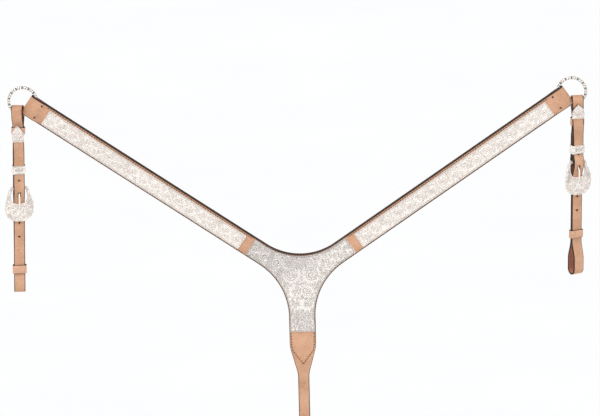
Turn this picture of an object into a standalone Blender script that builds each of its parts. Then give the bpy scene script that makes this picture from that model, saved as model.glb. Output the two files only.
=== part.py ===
"""Western show breast collar, hung up by its yoke.

Silver-mounted leather, ring tugs and a centre strap with a snap.

Metres, +X to the right, +Z up, the show side faces -Y. The origin is on the back face of the yoke, where the
centre lines of the two arms cross. The collar is symmetric; the tugs hang at their own lengths and turns.
"""
import math

import bmesh
import bpy
from mathutils import Euler, Matrix, Vector

# ---- collar leather and plates -------------------------------------------------------------------
RING_X, RING_Z = 0.476, 0.328            # ring centre, from the crossing of the arm centre lines
ARM_ANGLE = math.atan2(RING_Z, RING_X)   # slope of an arm
REACH = math.hypot(RING_X, RING_Z)       # crossing to ring centre, along the arm
ARM_WIDTH = 0.037
PLY = 0.0042                             # face and lining leather
SEAM = 0.0001                            # space left between pieces that lie flat on each other
MID_Y = -(PLY + SEAM / 2)                # the middle of the two plies; the back face is at y = 0
STEM_WIDTH = 0.046
TOP_FILLET = 0.103                       # radius between the two arms
SIDE_FILLET = 0.117                      # radius between an arm and the stem
STEM_END, TAPER_START = -0.183, -0.122
BRIDGE = 0.114                           # crossing to the leather bridge where an arm bends
BEND_GAP = 0.0084                        # leather left out at the bend, so that the arm can turn
BRIDGE_LENGTH = 0.016                    # bare leather between the plates
PLATE = 0.0013                           # silver sheet
PLATE_BOTTOM = -0.095
ARM_PLATE_MARGIN, YOKE_PLATE_MARGIN = 0.0040, 0.0026
ARM_PLATE_DROP = 0.0014                  # the arm plates sit this much nearer the lower edge
ARM_PLATE_END = REACH - 0.048

# ---- rings and the ends of the arms --------------------------------------------------------------
RING_RADIUS, RING_WIRE = 0.02425, 0.00275
POCKET_HALF = RING_WIRE + 0.0003         # half of the space that the ring wire turns in
FOLD_PLY = 0.0030                        # arm leather skived thin round the ring
FOLD_INNER = REACH - 0.0106              # inside of the fold, inside the ring
POCKET_START, POCKET_FULL = REACH - 0.041, REACH - 0.0280
TAIL_END = REACH - 0.0450                # the turned-back end of the face leather
RIVET_FROM_RING, RIVET_SPREAD = 0.032, 0.012

# ---- tugs: heights are below the ring centre, sideways places are from the tug's own centre ------
TUG_WIDTH, TUG_PLY = 0.0195, 0.0028
LAYER = TUG_PLY + SEAM
TUG_OUTBOARD = 0.0092
TUG_LEAN, LEAN_START = 0.0244, -0.044    # the tugs hang plumb; the collar hangs a little low on its left
LOOP_HALF = 0.0080                       # half of the space in the top loop, which holds ring and arm end
LOOP_TOP = -0.0098
LOOP_CLOSING, LOOP_CLOSED = -0.0255, -0.045
TUG_BEND, TUG_BEND_GAP = -0.0413, 0.004
BAR_Y, BAR_RADIUS = -0.0010, 0.0020
WRAP = BAR_RADIUS + 0.0003 + TUG_PLY / 2
CHAPE_LENGTH = 0.026
HOLE_PITCH, HOLE_RADIUS = 0.0254, 0.0019
TONGUE_HOLE = -0.0100                    # below the buckle bar
TUGS = {
    "left": dict(side=-1, bar=-0.1565, bottom=-0.343, foot=0.0040, foot_start=-0.311, foot_full=-0.332,
                 tip=(-0.042, -0.071), tip_lean=0.0, upper_keeper=(-0.046, -0.058),
                 silver_keeper=(-0.1145, -0.1295), lower_keeper=(-0.294, -0.309),
                 yaw=((-0.040, -7), (-0.095, 9), (-0.225, 9), (-0.285, 3)),
                 billet=((-0.071, -0.0070), (-0.075, -0.0070), (-0.091, -0.0045))),
    "right": dict(side=1, bar=-0.1265, bottom=-0.328, foot=0.0080, foot_start=-0.266, foot_full=-0.300,
                  tip=(-0.0195, -0.0465), tip_lean=0.270, upper_keeper=(-0.046, -0.060),
                  silver_keeper=(-0.0955, -0.1105), lower_keeper=(-0.248, -0.262),
                  yaw=((-0.040, 8), (-0.095, 27), (-0.225, 27), (-0.240, 28), (-0.262, 28), (-0.300, 31)),
                  billet=((-0.0465, -0.0071), (-0.0595, -0.0070), (-0.0775, -0.0045))),
}

# ---- centre strap and snap -----------------------------------------------------------------------
CENTRE_WIDTH, CENTRE_PLY = 0.0195, 0.0030
CENTRE_FULL_PLY = 0.0034                 # above the turned tail, where it isn't skived
CENTRE_Y = -0.0021
CENTRE_BEND = -0.187
EYE_Z, EYE_HALF, EYE_DROP, EYE_WIRE = -0.398, 0.0125, 0.014, 0.00175
EYE_WRAP = EYE_WIRE + 0.0003 + CENTRE_PLY / 2
EYE_Y = CENTRE_Y + EYE_WRAP
TAIL_TOP = -0.345
BARREL_TOP, BARREL_BOTTOM = -0.4155, -0.455
BARREL_RADIUS, BORE_RADIUS = 0.0055, 0.0036
BOLT_RADIUS, BOLT_TOP, BOLT_TIP, BOLT_TRAVEL = 0.0032, -0.4365, -0.4681, 0.008
STUD_Z = -0.446
HOOK_WIRE = 0.0026

SIDES = {"left": -1, "right": 1}


# ---- scene, materials and small helpers ----------------------------------------------------------
def clear_scene():
    for item in list(bpy.data.objects):
        bpy.data.objects.remove(item, do_unlink=True)


def new_collection(name):
    group = bpy.data.collections.new(name)
    bpy.context.scene.collection.children.link(group)
    return group


def material_for(name, colour, roughness, metallic):
    material = bpy.data.materials.new(name)
    material.use_nodes = True
    shader = material.node_tree.nodes["Principled BSDF"]
    shader.inputs["Base Color"].default_value = (*colour, 1.0)
    shader.inputs["Roughness"].default_value = roughness
    shader.inputs["Metallic"].default_value = metallic
    material.diffuse_color = (*colour, 1.0)
    return material


FINISHES = {
    "leather": ((0.66, 0.38, 0.24), 0.55, 0.0),
    "lining": ((0.55, 0.30, 0.19), 0.75, 0.0),
    "silver": ((0.86, 0.83, 0.80), 0.25, 1.0),
    "steel": ((0.62, 0.61, 0.60), 0.35, 1.0),
}


def add_part(name, mesh, finish):
    """Put a mesh in the scene as one named part with a material of its own."""
    mesh.name = name
    part = bpy.data.objects.new(name, mesh)
    PARTS.objects.link(part)
    colour, roughness, metallic = FINISHES[finish]
    mesh.materials.clear()
    mesh.materials.append(material_for(name, colour, roughness, metallic))
    return part


def add_cutter(name, mesh):
    cutter = bpy.data.objects.new(name, mesh)
    CUTTERS.objects.link(cutter)
    cutter.hide_render = True
    cutter.display_type = "WIRE"
    return cutter


def baked(item):
    """The evaluated mesh of an object, welded, in world coordinates."""
    bpy.context.view_layer.update()
    depsgraph = bpy.context.evaluated_depsgraph_get()
    mesh = bpy.data.meshes.new_from_object(item.evaluated_get(depsgraph))
    work = bmesh.new()
    work.from_mesh(mesh)
    bmesh.ops.remove_doubles(work, verts=work.verts, dist=0.000002)
    bmesh.ops.recalc_face_normals(work, faces=work.faces)
    work.to_mesh(mesh)
    work.free()
    mesh.transform(item.matrix_world)
    return mesh


def boolean(part, cutters, operation="DIFFERENCE"):
    """Cut with, or join, the named cutters, and bake the result into the part."""
    for cutter in cutters:
        step = part.modifiers.new(operation.lower(), "BOOLEAN")
        step.operation = operation
        step.solver = "EXACT"
        step.object = cutter
    mesh = baked(part)
    part.modifiers.clear()
    part.matrix_world = Matrix.Identity(4)
    part.data = mesh


def smooth(share):
    share = max(0.0, min(1.0, share))
    return share * share * (3 - 2 * share)


def follow(keys, height):
    """Ease from one (height, value) key to the next; the keys run downwards."""
    value = keys[0][1]
    for (start, first), (end, second) in zip(keys, keys[1:]):
        if height < start:
            value = first + (second - first) * smooth((start - height) / (start - end))
    return value


def steps(start, end, pitch):
    count = max(1, round(abs(end - start) / pitch))
    return [start + (end - start) * index / count for index in range(count + 1)]


def arc(centre, radius, start, end, count):
    """Points on an arc, angles in degrees."""
    points = []
    for index in range(count + 1):
        angle = math.radians(start + (end - start) * index / count)
        points.append((centre[0] + radius * math.cos(angle), centre[1] + radius * math.sin(angle)))
    return points


def fillet(before, corner, after, radius, count=10):
    """The arc that rounds a corner, from the side of `before` to the side of `after`."""
    corner, before, after = Vector(corner), Vector(before), Vector(after)
    inward, outward = (before - corner).normalized(), (after - corner).normalized()
    half = inward.angle(outward) / 2
    centre = corner + (inward + outward).normalized() * radius / math.sin(half)
    first = corner + inward * radius / math.tan(half) - centre
    last = corner + outward * radius / math.tan(half) - centre
    turn = first.angle_signed(last)
    points = []
    for index in range(count + 1):
        angle = -turn * index / count
        points.append((centre.x + first.x * math.cos(angle) - first.y * math.sin(angle),
                       centre.y + first.x * math.sin(angle) + first.y * math.cos(angle)))
    return points


def rounded_box(centre, half_x, half_y, radius, count=4):
    points = []
    for sign_x, sign_y, start in ((1, 1, 0), (-1, 1, 90), (-1, -1, 180), (1, -1, 270)):
        corner = (centre[0] + sign_x * (half_x - radius), centre[1] + sign_y * (half_y - radius))
        points += arc(corner, radius, start, start + 90, count)
    return points


def flat_solid(loops, thickness, place):
    """Closed solid of a flat outline: the first loop is the edge, any others are openings in it."""
    data = bpy.data.curves.new("outline", "CURVE")
    data.dimensions = "2D"
    data.fill_mode = "BOTH"
    data.extrude = thickness / 2
    for loop in loops:
        spline = data.splines.new("POLY")
        spline.points.add(len(loop) - 1)
        for point, (x, y) in zip(spline.points, loop):
            point.co = (x, y, 0, 1)
        spline.use_cyclic_u = True
    item = bpy.data.objects.new("outline", data)
    CUTTERS.objects.link(item)
    item.matrix_world = place
    mesh = baked(item)
    bpy.data.objects.remove(item, do_unlink=True)
    return mesh


def upright(depth):
    """Outline drawn in X and Z, with its middle at this depth in Y."""
    return Matrix.Translation((0, depth, 0)) @ Euler((math.pi / 2, 0, 0)).to_matrix().to_4x4()


def side_on():
    """Outline drawn in Y and Z, with its thickness along X."""
    return Euler((math.pi / 2, 0, math.pi / 2)).to_matrix().to_4x4()


def band(path):
    """Outline of a strap seen on edge, from (along, across, thickness) points on its middle line."""
    left, right = [], []
    for index, (x, y, thick) in enumerate(path):
        before, after = path[max(0, index - 1)], path[min(len(path) - 1, index + 1)]
        run = Vector((after[0] - before[0], after[1] - before[1])).normalized()
        left.append((x - run.y * thick / 2, y + run.x * thick / 2))
        right.append((x + run.y * thick / 2, y - run.x * thick / 2))
    return left + right[::-1]


def wire(points, radius, cyclic=False, sides=3):
    data = bpy.data.curves.new("wire", "CURVE")
    data.dimensions = "3D"
    data.bevel_depth = radius
    data.bevel_resolution = sides
    data.use_fill_caps = True
    spline = data.splines.new("POLY")
    spline.points.add(len(points) - 1)
    for point, place in zip(spline.points, points):
        point.co = (*place, 1)
    spline.use_cyclic_u = cyclic
    item = bpy.data.objects.new("wire", data)
    CUTTERS.objects.link(item)
    mesh = baked(item)
    bpy.data.objects.remove(item, do_unlink=True)
    return mesh


def spline_through(points, count):
    """Points on a smooth curve through the given ones (Catmull-Rom)."""
    points = [Vector(point) for point in points]
    padded = [2 * points[0] - points[1]] + points + [2 * points[-1] - points[-2]]
    out = []
    for a, b, c, d in zip(padded, padded[1:], padded[2:], padded[3:]):
        for index in range(count):
            t = index / count
            out.append(0.5 * (2 * b + (c - a) * t + (2 * a - 5 * b + 4 * c - d) * t * t
                              + (3 * b - a - 3 * c + d) * t ** 3))
    return out + [points[-1]]


def turned(profile, place, count=24):
    """Solid turned about its own Z axis from (radius, height) points, listed from the top down."""
    mesh = bpy.data.meshes.new("profile")
    mesh.from_pydata([(radius, 0, height) for radius, height in profile],
                     [(index, index + 1) for index in range(len(profile) - 1)], [])
    item = bpy.data.objects.new("profile", mesh)
    CUTTERS.objects.link(item)
    spin = item.modifiers.new("spin", "SCREW")
    spin.steps = spin.render_steps = count
    spin.use_merge_vertices = True
    spin.merge_threshold = 0.000005
    spin.use_smooth_shade = True
    item.matrix_world = place
    result = baked(item)
    bpy.data.objects.remove(item, do_unlink=True)
    return result


def rod(start, end, radius, count=20):
    """Plain cylinder between two points."""
    start, end = Vector(start), Vector(end)
    work = bmesh.new()
    bmesh.ops.create_cone(work, cap_ends=True, segments=count, radius1=radius, radius2=radius,
                          depth=(end - start).length)
    mesh = bpy.data.meshes.new("rod")
    work.to_mesh(mesh)
    work.free()
    turn = Vector((0, 0, 1)).rotation_difference(end - start).to_matrix().to_4x4()
    mesh.transform(Matrix.Translation((start + end) / 2) @ turn)
    return mesh


def block(low, high):
    low, high = Vector(low), Vector(high)
    work = bmesh.new()
    bmesh.ops.create_cube(work, size=1.0)
    mesh = bpy.data.meshes.new("block")
    work.to_mesh(mesh)
    work.free()
    mesh.transform(Matrix.Translation((low + high) / 2) @ Matrix.Diagonal((*(high - low), 1)))
    return mesh


def fastener(front, back, head, shank, lip, place, grow=0.0):
    """Two-headed post along Y, as a part or, grown a little, as the cutter of its hole."""
    top, bottom = -front + grow, -back - grow
    profile = [(0, top), (head + grow, top), (head + grow, -front - lip - grow),
               (shank + grow, -front - lip - grow), (shank + grow, -back + lip + grow),
               (head + grow, -back + lip + grow), (head + grow, bottom), (0, bottom)]
    stand = Euler((math.pi / 2, 0, 0)).to_matrix().to_4x4()
    return turned(profile, place @ stand, 20)


# ---- yoke and arms -------------------------------------------------------------------------------
def yoke_outline(margin, reach, bottom, tapered):
    """Edge of the yoke in X and Z: two arm stubs and the stem, held in from the leather edge by margin."""
    cos, sin = math.cos(ARM_ANGLE), math.sin(ARM_ANGLE)
    half, stem = ARM_WIDTH / 2 - margin, STEM_WIDTH / 2 - margin * 0.7
    peak = (0, half / cos)
    armpit = (stem, (stem * sin - half) / cos)
    top_end = (reach * cos - half * sin, reach * sin + half * cos)
    low_end = (reach * cos + half * sin, reach * sin - half * cos)
    mirrored = (-top_end[0], top_end[1])
    outline = fillet(mirrored, peak, top_end, TOP_FILLET + margin, 20)
    outline += [top_end, low_end]
    outline += fillet(low_end, armpit, (stem, -1), SIDE_FILLET + margin, 18)
    if tapered:
        tail = (CENTRE_WIDTH / 2, STEM_END + 0.005)
        shoulder = (stem, TAPER_START)
        outline += fillet((stem, 0), shoulder, tail, 0.060, 6)
        outline += fillet(shoulder, (tail[0], tail[1] + 0.006), (tail[0], bottom - 0.05), 0.045, 5)
        outline.append((tail[0], bottom))
    else:
        outline.append((stem, bottom))
    right = [point for point in outline if point[0] > 0.00001]
    middle = [point for point in outline if abs(point[0]) <= 0.00001]
    left = [(-x, z) for x, z in reversed(right)]
    return middle + right + left


def build_yoke():
    end = BRIDGE - BEND_GAP / 2
    leather = yoke_outline(0.0, end, STEM_END, True)
    add_part("yoke_face", flat_solid([leather], PLY, upright(-(PLY + SEAM) / 2)), "leather")
    add_part("yoke_lining", flat_solid([leather], PLY, upright((PLY + SEAM) / 2)), "lining")
    silver = yoke_outline(YOKE_PLATE_MARGIN, BRIDGE - BRIDGE_LENGTH / 2, PLATE_BOTTOM, False)
    depth = -(PLY + SEAM / 2 + SEAM + PLATE / 2)
    add_part("yoke_plate", flat_solid([silver], PLATE, upright(depth)), "silver")


def arm_frame(side):
    """From (along the arm, depth, across the arm) to world."""
    angle = -ARM_ANGLE if side > 0 else ARM_ANGLE - math.pi
    return Matrix.Rotation(angle, 4, "Y")


def arm_face_path():
    """Middle line of the face leather: flat under the plate, round the ring wire and back to the lining."""
    flat = (PLY + SEAM) / 2
    open_half = POCKET_HALF + FOLD_PLY / 2
    path = [(BRIDGE + BEND_GAP / 2, -flat, PLY)]
    for along in steps(POCKET_START, POCKET_FULL, 0.0015):
        share = smooth((along - POCKET_START) / (POCKET_FULL - POCKET_START))
        path.append((along, -flat - (open_half - flat) * share, PLY + (FOLD_PLY - PLY) * share))
    centre = (FOLD_INNER - POCKET_HALF, 0)
    path += [(x, y, FOLD_PLY) for x, y in arc(centre, open_half, -90, 90, 14)]
    for along in steps(POCKET_FULL, POCKET_START, 0.0015):
        share = smooth((along - POCKET_START) / (POCKET_FULL - POCKET_START))
        path.append((along, flat + (open_half - flat) * share, PLY + (FOLD_PLY - PLY) * share))
    path.append((TAIL_END, flat, PLY))
    return path


def build_arm(name, side):
    frame = arm_frame(side)
    face = add_part(f"{name}_arm_face", flat_solid([band(arm_face_path())], ARM_WIDTH, frame), "leather")
    flat = (PLY + SEAM) / 2
    lining = [(BRIDGE + BEND_GAP / 2, flat, PLY), (TAIL_END - SEAM * 3, flat, PLY)]
    add_part(f"{name}_arm_lining", flat_solid([band(lining)], ARM_WIDTH, frame), "lining")
    start, end = BRIDGE + BRIDGE_LENGTH / 2, ARM_PLATE_END
    middle = ((start + end) / 2, -ARM_PLATE_DROP * side)
    plate = rounded_box(middle, (end - start) / 2, ARM_WIDTH / 2 - ARM_PLATE_MARGIN, 0.0015)
    place = frame @ upright(-(PLY + SEAM / 2 + SEAM + PLATE / 2))
    add_part(f"{name}_arm_plate", flat_solid([plate], PLATE, place), "silver")
    holes = []
    for label, across in (("upper", RIVET_SPREAD), ("lower", -RIVET_SPREAD)):
        lateral = across * side
        place = frame @ Matrix.Translation((REACH - RIVET_FROM_RING, 0, lateral))
        surface = 0.0060
        part = fastener(-surface, surface, 0.0023, 0.0013, 0.0016, place)
        add_part(f"{name}_arm_rivet_{label}", part, "steel")
        hole = fastener(-surface - 0.002, surface + 0.002, 0.0023, 0.0013, 0.0036, place, 0.0002)
        holes.append(add_cutter(f"{name}_arm_rivet_hole_{label}", hole))
    boolean(face, holes)


def build_ring(name, side):
    bpy.ops.mesh.primitive_torus_add(major_segments=48, minor_segments=12, major_radius=RING_RADIUS,
                                     minor_radius=RING_WIRE, rotation=(math.pi / 2, 0, 0),
                                     location=(side * RING_X, 0, RING_Z))
    torus = bpy.context.object
    mesh = baked(torus)
    bpy.data.objects.remove(torus, do_unlink=True)
    add_part(f"{name}_ring", mesh, "silver")


# ---- tugs ----------------------------------------------------------------------------------------
def half_gap(height):
    """Half of the space between the front and back legs under the ring."""
    closing = smooth((LOOP_CLOSING - height) / (LOOP_CLOSING - LOOP_CLOSED))
    return LOOP_HALF + (SEAM - LOOP_HALF) * closing


def back_depth(tug, height):
    """Middle of the back leg, which also makes room for the chape and opens at the foot."""
    upper = half_gap(height) + TUG_PLY / 2
    flat, aside = SEAM + TUG_PLY / 2, SEAM + TUG_PLY / 2 + LAYER
    foot = tug["foot"] + TUG_PLY / 2
    bar = tug["bar"]
    keys = ((-0.064, flat), (-0.080, aside), (bar + 0.014, aside), (bar + 0.004, aside + 0.0014),
            (bar - 0.008, aside + 0.0014), (bar - 0.030, flat), (tug["foot_start"], flat),
            (tug["foot_full"], foot))
    return upper if height > -0.064 else follow(keys, height)


def billet_depth(tug, height):
    """Middle of the billet: over the keeper, over the bar, under the buckle plate and down to the foot."""
    bar = tug["bar"]
    flat = SEAM + TUG_PLY / 2
    keys = (*tug["billet"], (bar + 0.013, tug["billet"][-1][1]), (bar + 0.003, -0.0078),
            (bar - 0.003, -0.0078), (bar - 0.024, -flat), (tug["foot_start"], -flat),
            (tug["foot_full"], -tug["foot"] - TUG_PLY / 2))
    above_tip_base = max(0.0, height - tug["tip"][1])
    return follow(keys, height) - above_tip_base * math.tan(tug["tip_lean"])


def loop_path():
    """The top loop over the ring, from the front cut to the back cut."""
    end = TUG_BEND + TUG_BEND_GAP / 2
    middle = LOOP_HALF + TUG_PLY / 2
    heights = steps(end, LOOP_CLOSING + 0.001, 0.0015)
    path = [(-half_gap(z) - TUG_PLY / 2, z, TUG_PLY) for z in heights]
    path += [(y, z, TUG_PLY) for y, z in arc((0, LOOP_TOP - LOOP_HALF), middle, 180, 0, 16)]
    path += [(half_gap(z) + TUG_PLY / 2, z, TUG_PLY) for z in reversed(heights)]
    return path


def chape_path(tug):
    """The front leg from the bend down to the buckle bar, round it and up behind."""
    bar = tug["bar"]
    flat = SEAM + TUG_PLY / 2
    path = []
    for z in steps(TUG_BEND - TUG_BEND_GAP / 2, bar + 0.001, 0.003):
        spread = smooth((bar + 0.010 - z) / 0.009)
        front = -(half_gap(z) + TUG_PLY / 2)
        path.append((front + (BAR_Y - WRAP + flat) * spread, z, TUG_PLY))
    path += [(y, z, TUG_PLY) for y, z in arc((BAR_Y, bar), WRAP, 180, 360, 14)]
    inner = -flat + LAYER
    for z in steps(bar + 0.001, bar + CHAPE_LENGTH, 0.003):
        spread = smooth((bar + 0.010 - z) / 0.009)
        path.append((inner + (BAR_Y + WRAP - inner) * spread, z, TUG_PLY))
    return path


def billet_path(tug):
    """Down the back, round the foot, up the front, through the buckle and on to the tip."""
    centre = (0, tug["bottom"] + TUG_PLY + tug["foot"])
    path = [(back_depth(tug, z), z, TUG_PLY)
            for z in steps(TUG_BEND - TUG_BEND_GAP / 2, centre[1] + 0.001, 0.004)]
    path += [(y, z, TUG_PLY) for y, z in arc(centre, tug["foot"] + TUG_PLY / 2, 0, -180, 14)]
    path += [(billet_depth(tug, z), z, TUG_PLY) for z in steps(centre[1] + 0.001, tug["tip"][0], 0.0035)]
    return path


def plumb_line(tug, height):
    """Sideways place of the tug's middle at a height."""
    return tug["side"] * (RING_X + TUG_OUTBOARD) + TUG_LEAN * min(0.0, height - LEAN_START)


def twisted(mesh, tug):
    """Turn each height of a tug piece about the tug's own upright line, and move it to its ring."""
    for vertex in mesh.vertices:
        angle = math.radians(follow(tug["yaw"], vertex.co.z))
        x, y, z = vertex.co
        vertex.co = (plumb_line(tug, z) + x * math.cos(angle) - y * math.sin(angle),
                     x * math.sin(angle) + y * math.cos(angle), z + RING_Z)


def tip_outline(height, grow=0.0):
    """Pointed tip, base at zero: straight sides, then shoulders drawn in to the point."""
    half = TUG_WIDTH / 2 + 0.0008 + grow
    sides = [(half, 0), (half, height * 0.42), (half * 0.93, height * 0.56), (half * 0.70, height * 0.72),
             (half * 0.36, height * 0.89), (0, height + grow)]
    return sides + [(-x, z) for x, z in reversed(sides[:-1])]


def tip_frame(tug):
    top, base = tug["tip"]
    depth = billet_depth(tug, base) - TUG_PLY / 2
    lean = Matrix.Rotation(tug["tip_lean"], 4, "X")
    return Matrix.Translation((0, depth, base)) @ lean, top - base


def keeper(low, high, front, back, wall):
    """Band round the straps between two heights."""
    middle = ((0, (front + back) / 2))
    half_x, half_y = TUG_WIDTH / 2 + 0.0006, (back - front) / 2
    outer = rounded_box(middle, half_x + wall, half_y + wall, wall + 0.0008)
    inner = rounded_box(middle, half_x, half_y, 0.0008, 3)
    return flat_solid([outer, inner], high - low, Matrix.Translation((0, 0, (low + high) / 2)))


def buckle_outline():
    """Frame drawn from the bar downwards: two horns and the wide lower plate, right half then left."""
    outer = spline_through([(0.0128, 0.0040, 0), (0.0168, -0.0010, 0), (0.0205, -0.0110, 0),
                            (0.0238, -0.0220, 0), (0.0250, -0.0330, 0), (0.0236, -0.0430, 0),
                            (0.0190, -0.0510, 0), (0.0110, -0.0560, 0), (0.0, -0.0578, 0)], 4)
    inner = spline_through([(0.0, -0.0262, 0), (0.0060, -0.0255, 0), (0.0118, -0.0225, 0),
                            (0.0142, -0.0150, 0), (0.0132, -0.0060, 0), (0.0110, 0.0036, 0)], 4)
    right = [(point.x, point.y) for point in outer]
    opening = [(point.x, point.y) for point in inner]
    left_outer = [(-x, z) for x, z in reversed(right[:-1])]
    left_inner = [(-x, z) for x, z in reversed(opening[1:])]
    return right + left_outer + left_inner + opening


def arched(mesh, bar):
    """Raise the lower plate of a buckle clear of the billet that passes under it."""
    for vertex in mesh.vertices:
        vertex.co.y -= 0.0044 * smooth((bar - 0.003 - vertex.co.z) / 0.020)


def build_straps(name, tug):
    loop = flat_solid([band(loop_path())], TUG_WIDTH, side_on())
    chape = flat_solid([band(chape_path(tug))], TUG_WIDTH, side_on())
    billet = flat_solid([band(billet_path(tug))], TUG_WIDTH, side_on())
    loop = add_part(f"{name}_tug_loop", loop, "leather")
    chape = add_part(f"{name}_tug_chape", chape, "leather")
    billet = add_part(f"{name}_tug_billet", billet, "leather")
    return loop, chape, billet


def point_billet(name, tug, billet):
    """Cut the end of the billet to the shape of its tip, and add the tip."""
    place, height = tip_frame(tug)
    upright_tip = place @ Euler((math.pi / 2, 0, 0)).to_matrix().to_4x4()
    outline = tip_outline(height)
    inside = [(x * 0.94, z * 0.97) for x, z in outline]
    beyond = [(0.02, inside[0][1] + 0.001), (0.02, height + 0.02), (-0.02, height + 0.02), (-0.02, 0.001)]
    cutter = flat_solid([[*beyond, *reversed(inside[1:-1])]], TUG_PLY + 0.0002, upright_tip)
    inward = place.to_3x3() @ Vector((0, TUG_PLY / 2, 0))
    cutter.transform(Matrix.Translation(inward))
    boolean(billet, [add_cutter(f"{name}_tip_cutter", cutter)])
    tip = flat_solid([outline], PLATE, upright_tip)
    outward = place.to_3x3() @ Vector((0, -PLATE / 2 - 2 * SEAM, 0))
    tip.transform(Matrix.Translation(outward))
    return add_part(f"{name}_tug_tip", tip, "silver")


def punch_billet(name, tug, billet):
    """Round adjusting holes, and the longer one that the tongue stands in."""
    cutters = []
    tongue_hole = tug["bar"] + TONGUE_HOLE
    for index in range(-1, 4):
        z = tongue_hole - index * HOLE_PITCH
        middle = billet_depth(tug, z)
        if index == 0:
            cutter = block((-0.0023, middle - 0.004, z - 0.0042), (0.0023, middle + 0.0042, z + 0.0057))
        else:
            cutter = rod((0, middle - 0.004, z), (0, middle + TUG_PLY / 2 + SEAM, z), HOLE_RADIUS, 16)
        cutters.append(add_cutter(f"{name}_billet_hole_{index + 2}", cutter))
    boolean(billet, cutters)


def fasten_chape(name, tug, chape):
    """Slot for the tongue, and the two flush screws that hold the turned end."""
    bar = tug["bar"]
    flat = SEAM + TUG_PLY / 2
    reach = WRAP + TUG_PLY
    slot = block((-0.0030, BAR_Y - reach, bar - 0.009), (0.0030, BAR_Y + reach, bar + 0.007))
    cutters = [add_cutter(f"{name}_tongue_slot", slot)]
    front, back = -flat - TUG_PLY / 2, -flat + LAYER + TUG_PLY / 2
    screws = []
    for label, rise in (("lower", 0.0130), ("upper", 0.0205)):
        place = Matrix.Translation((0, 0, bar + rise))
        screw = fastener(front, back, 0.0030, 0.0019, 0.0010, place)
        screws.append(add_part(f"{name}_chape_screw_{label}", screw, "steel"))
        hole = fastener(front, back, 0.0030, 0.0019, 0.0010, place, 0.00025)
        cutters.append(add_cutter(f"{name}_chape_hole_{label}", hole))
    boolean(chape, cutters)
    return screws


def build_buckle(name, tug):
    bar = tug["bar"]
    place = Matrix.Translation((0, 0, bar)) @ upright(BAR_Y)
    frame = flat_solid([buckle_outline()], 0.0030, place)
    arched(frame, bar)
    frame = add_part(f"{name}_buckle_frame", frame, "silver")
    cross = rod((-0.0128, BAR_Y, bar), (0.0128, BAR_Y, bar), BAR_RADIUS, 16)
    boolean(frame, [add_cutter(f"{name}_buckle_bar", cross)], "UNION")
    eye = [(0, BAR_Y + y, bar + z) for y, z in arc((0, 0), 0.0035, 0, 342, 19)]
    shank = spline_through([(0, -0.0036, bar - 0.0028), (0, -0.0047, bar - 0.0068),
                            (0, -0.0072, bar - 0.0110), (0, -0.0098, bar - 0.0155),
                            (0, -0.0099, bar - 0.0225), (0, -0.0090, bar - 0.0290),
                            (0, -0.0088, bar - 0.0325)], 3)
    tongue = add_part(f"{name}_buckle_tongue", wire(eye, 0.0011, True), "silver")
    boolean(tongue, [add_cutter(f"{name}_tongue_shank", wire(shank, 0.0014))], "UNION")
    return frame, tongue


def build_keepers(name, tug):
    face = SEAM + TUG_PLY                     # outside of two plies lying together
    room = 0.00045
    over_all = -tug["billet"][-1][1] + TUG_PLY / 2
    bands = {
        "upper": ("leather", tug["upper_keeper"], -face - room, face + room, 0.0016),
        "silver": ("silver", tug["silver_keeper"], -over_all - room, face + LAYER + room, 0.0013),
        "lower": ("leather", tug["lower_keeper"], -face - room, face + room, 0.0018),
    }
    keepers = []
    for label, (finish, (high, low), front, back, wall) in bands.items():
        keepers.append(add_part(f"{name}_tug_{label}_keeper", keeper(low, high, front, back, wall), finish))
    return keepers


def build_tug(name, tug):
    loop, chape, billet = build_straps(name, tug)
    pieces = [loop, chape, billet, point_billet(name, tug, billet)]
    punch_billet(name, tug, billet)
    pieces += fasten_chape(name, tug, chape)
    pieces += build_buckle(name, tug)
    pieces += build_keepers(name, tug)
    for piece in pieces:
        twisted(piece.data, tug)


# ---- centre strap and snap -----------------------------------------------------------------------
def build_centre_strap():
    path = [(CENTRE_Y, z, CENTRE_FULL_PLY) for z in (CENTRE_BEND - BEND_GAP / 2, TAIL_TOP + 0.015)]
    path += [(CENTRE_Y, z, CENTRE_PLY) for z in (TAIL_TOP + 0.003, EYE_Z)]
    path += [(y, z, CENTRE_PLY) for y, z in arc((EYE_Y, EYE_Z), EYE_WRAP, 180, 360, 14)]
    inner = CENTRE_Y + CENTRE_PLY + SEAM
    for z in steps(EYE_Z + 0.001, EYE_Z + 0.014, 0.002):
        spread = smooth((EYE_Z + 0.014 - z) / 0.013)
        path.append((inner + (EYE_Y + EYE_WRAP - inner) * spread, z, CENTRE_PLY))
    path.append((inner, TAIL_TOP, CENTRE_PLY))
    strap = add_part("centre_strap", flat_solid([band(path)], CENTRE_WIDTH, side_on()), "leather")
    front, back = CENTRE_Y - CENTRE_PLY / 2 - 0.0008, inner + CENTRE_PLY / 2 + 0.0008
    cutters = []
    for label, z in (("upper", TAIL_TOP - 0.009), ("lower", TAIL_TOP - 0.029)):
        place = Matrix.Translation((0, 0, z))
        add_part(f"centre_screw_{label}", fastener(front, back, 0.0042, 0.0021, 0.0016, place), "silver")
        hole = fastener(front, back, 0.0042, 0.0021, 0.0016, place, 0.00025)
        cutters.append(add_cutter(f"centre_hole_{label}", hole))
    boolean(strap, cutters)


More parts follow.
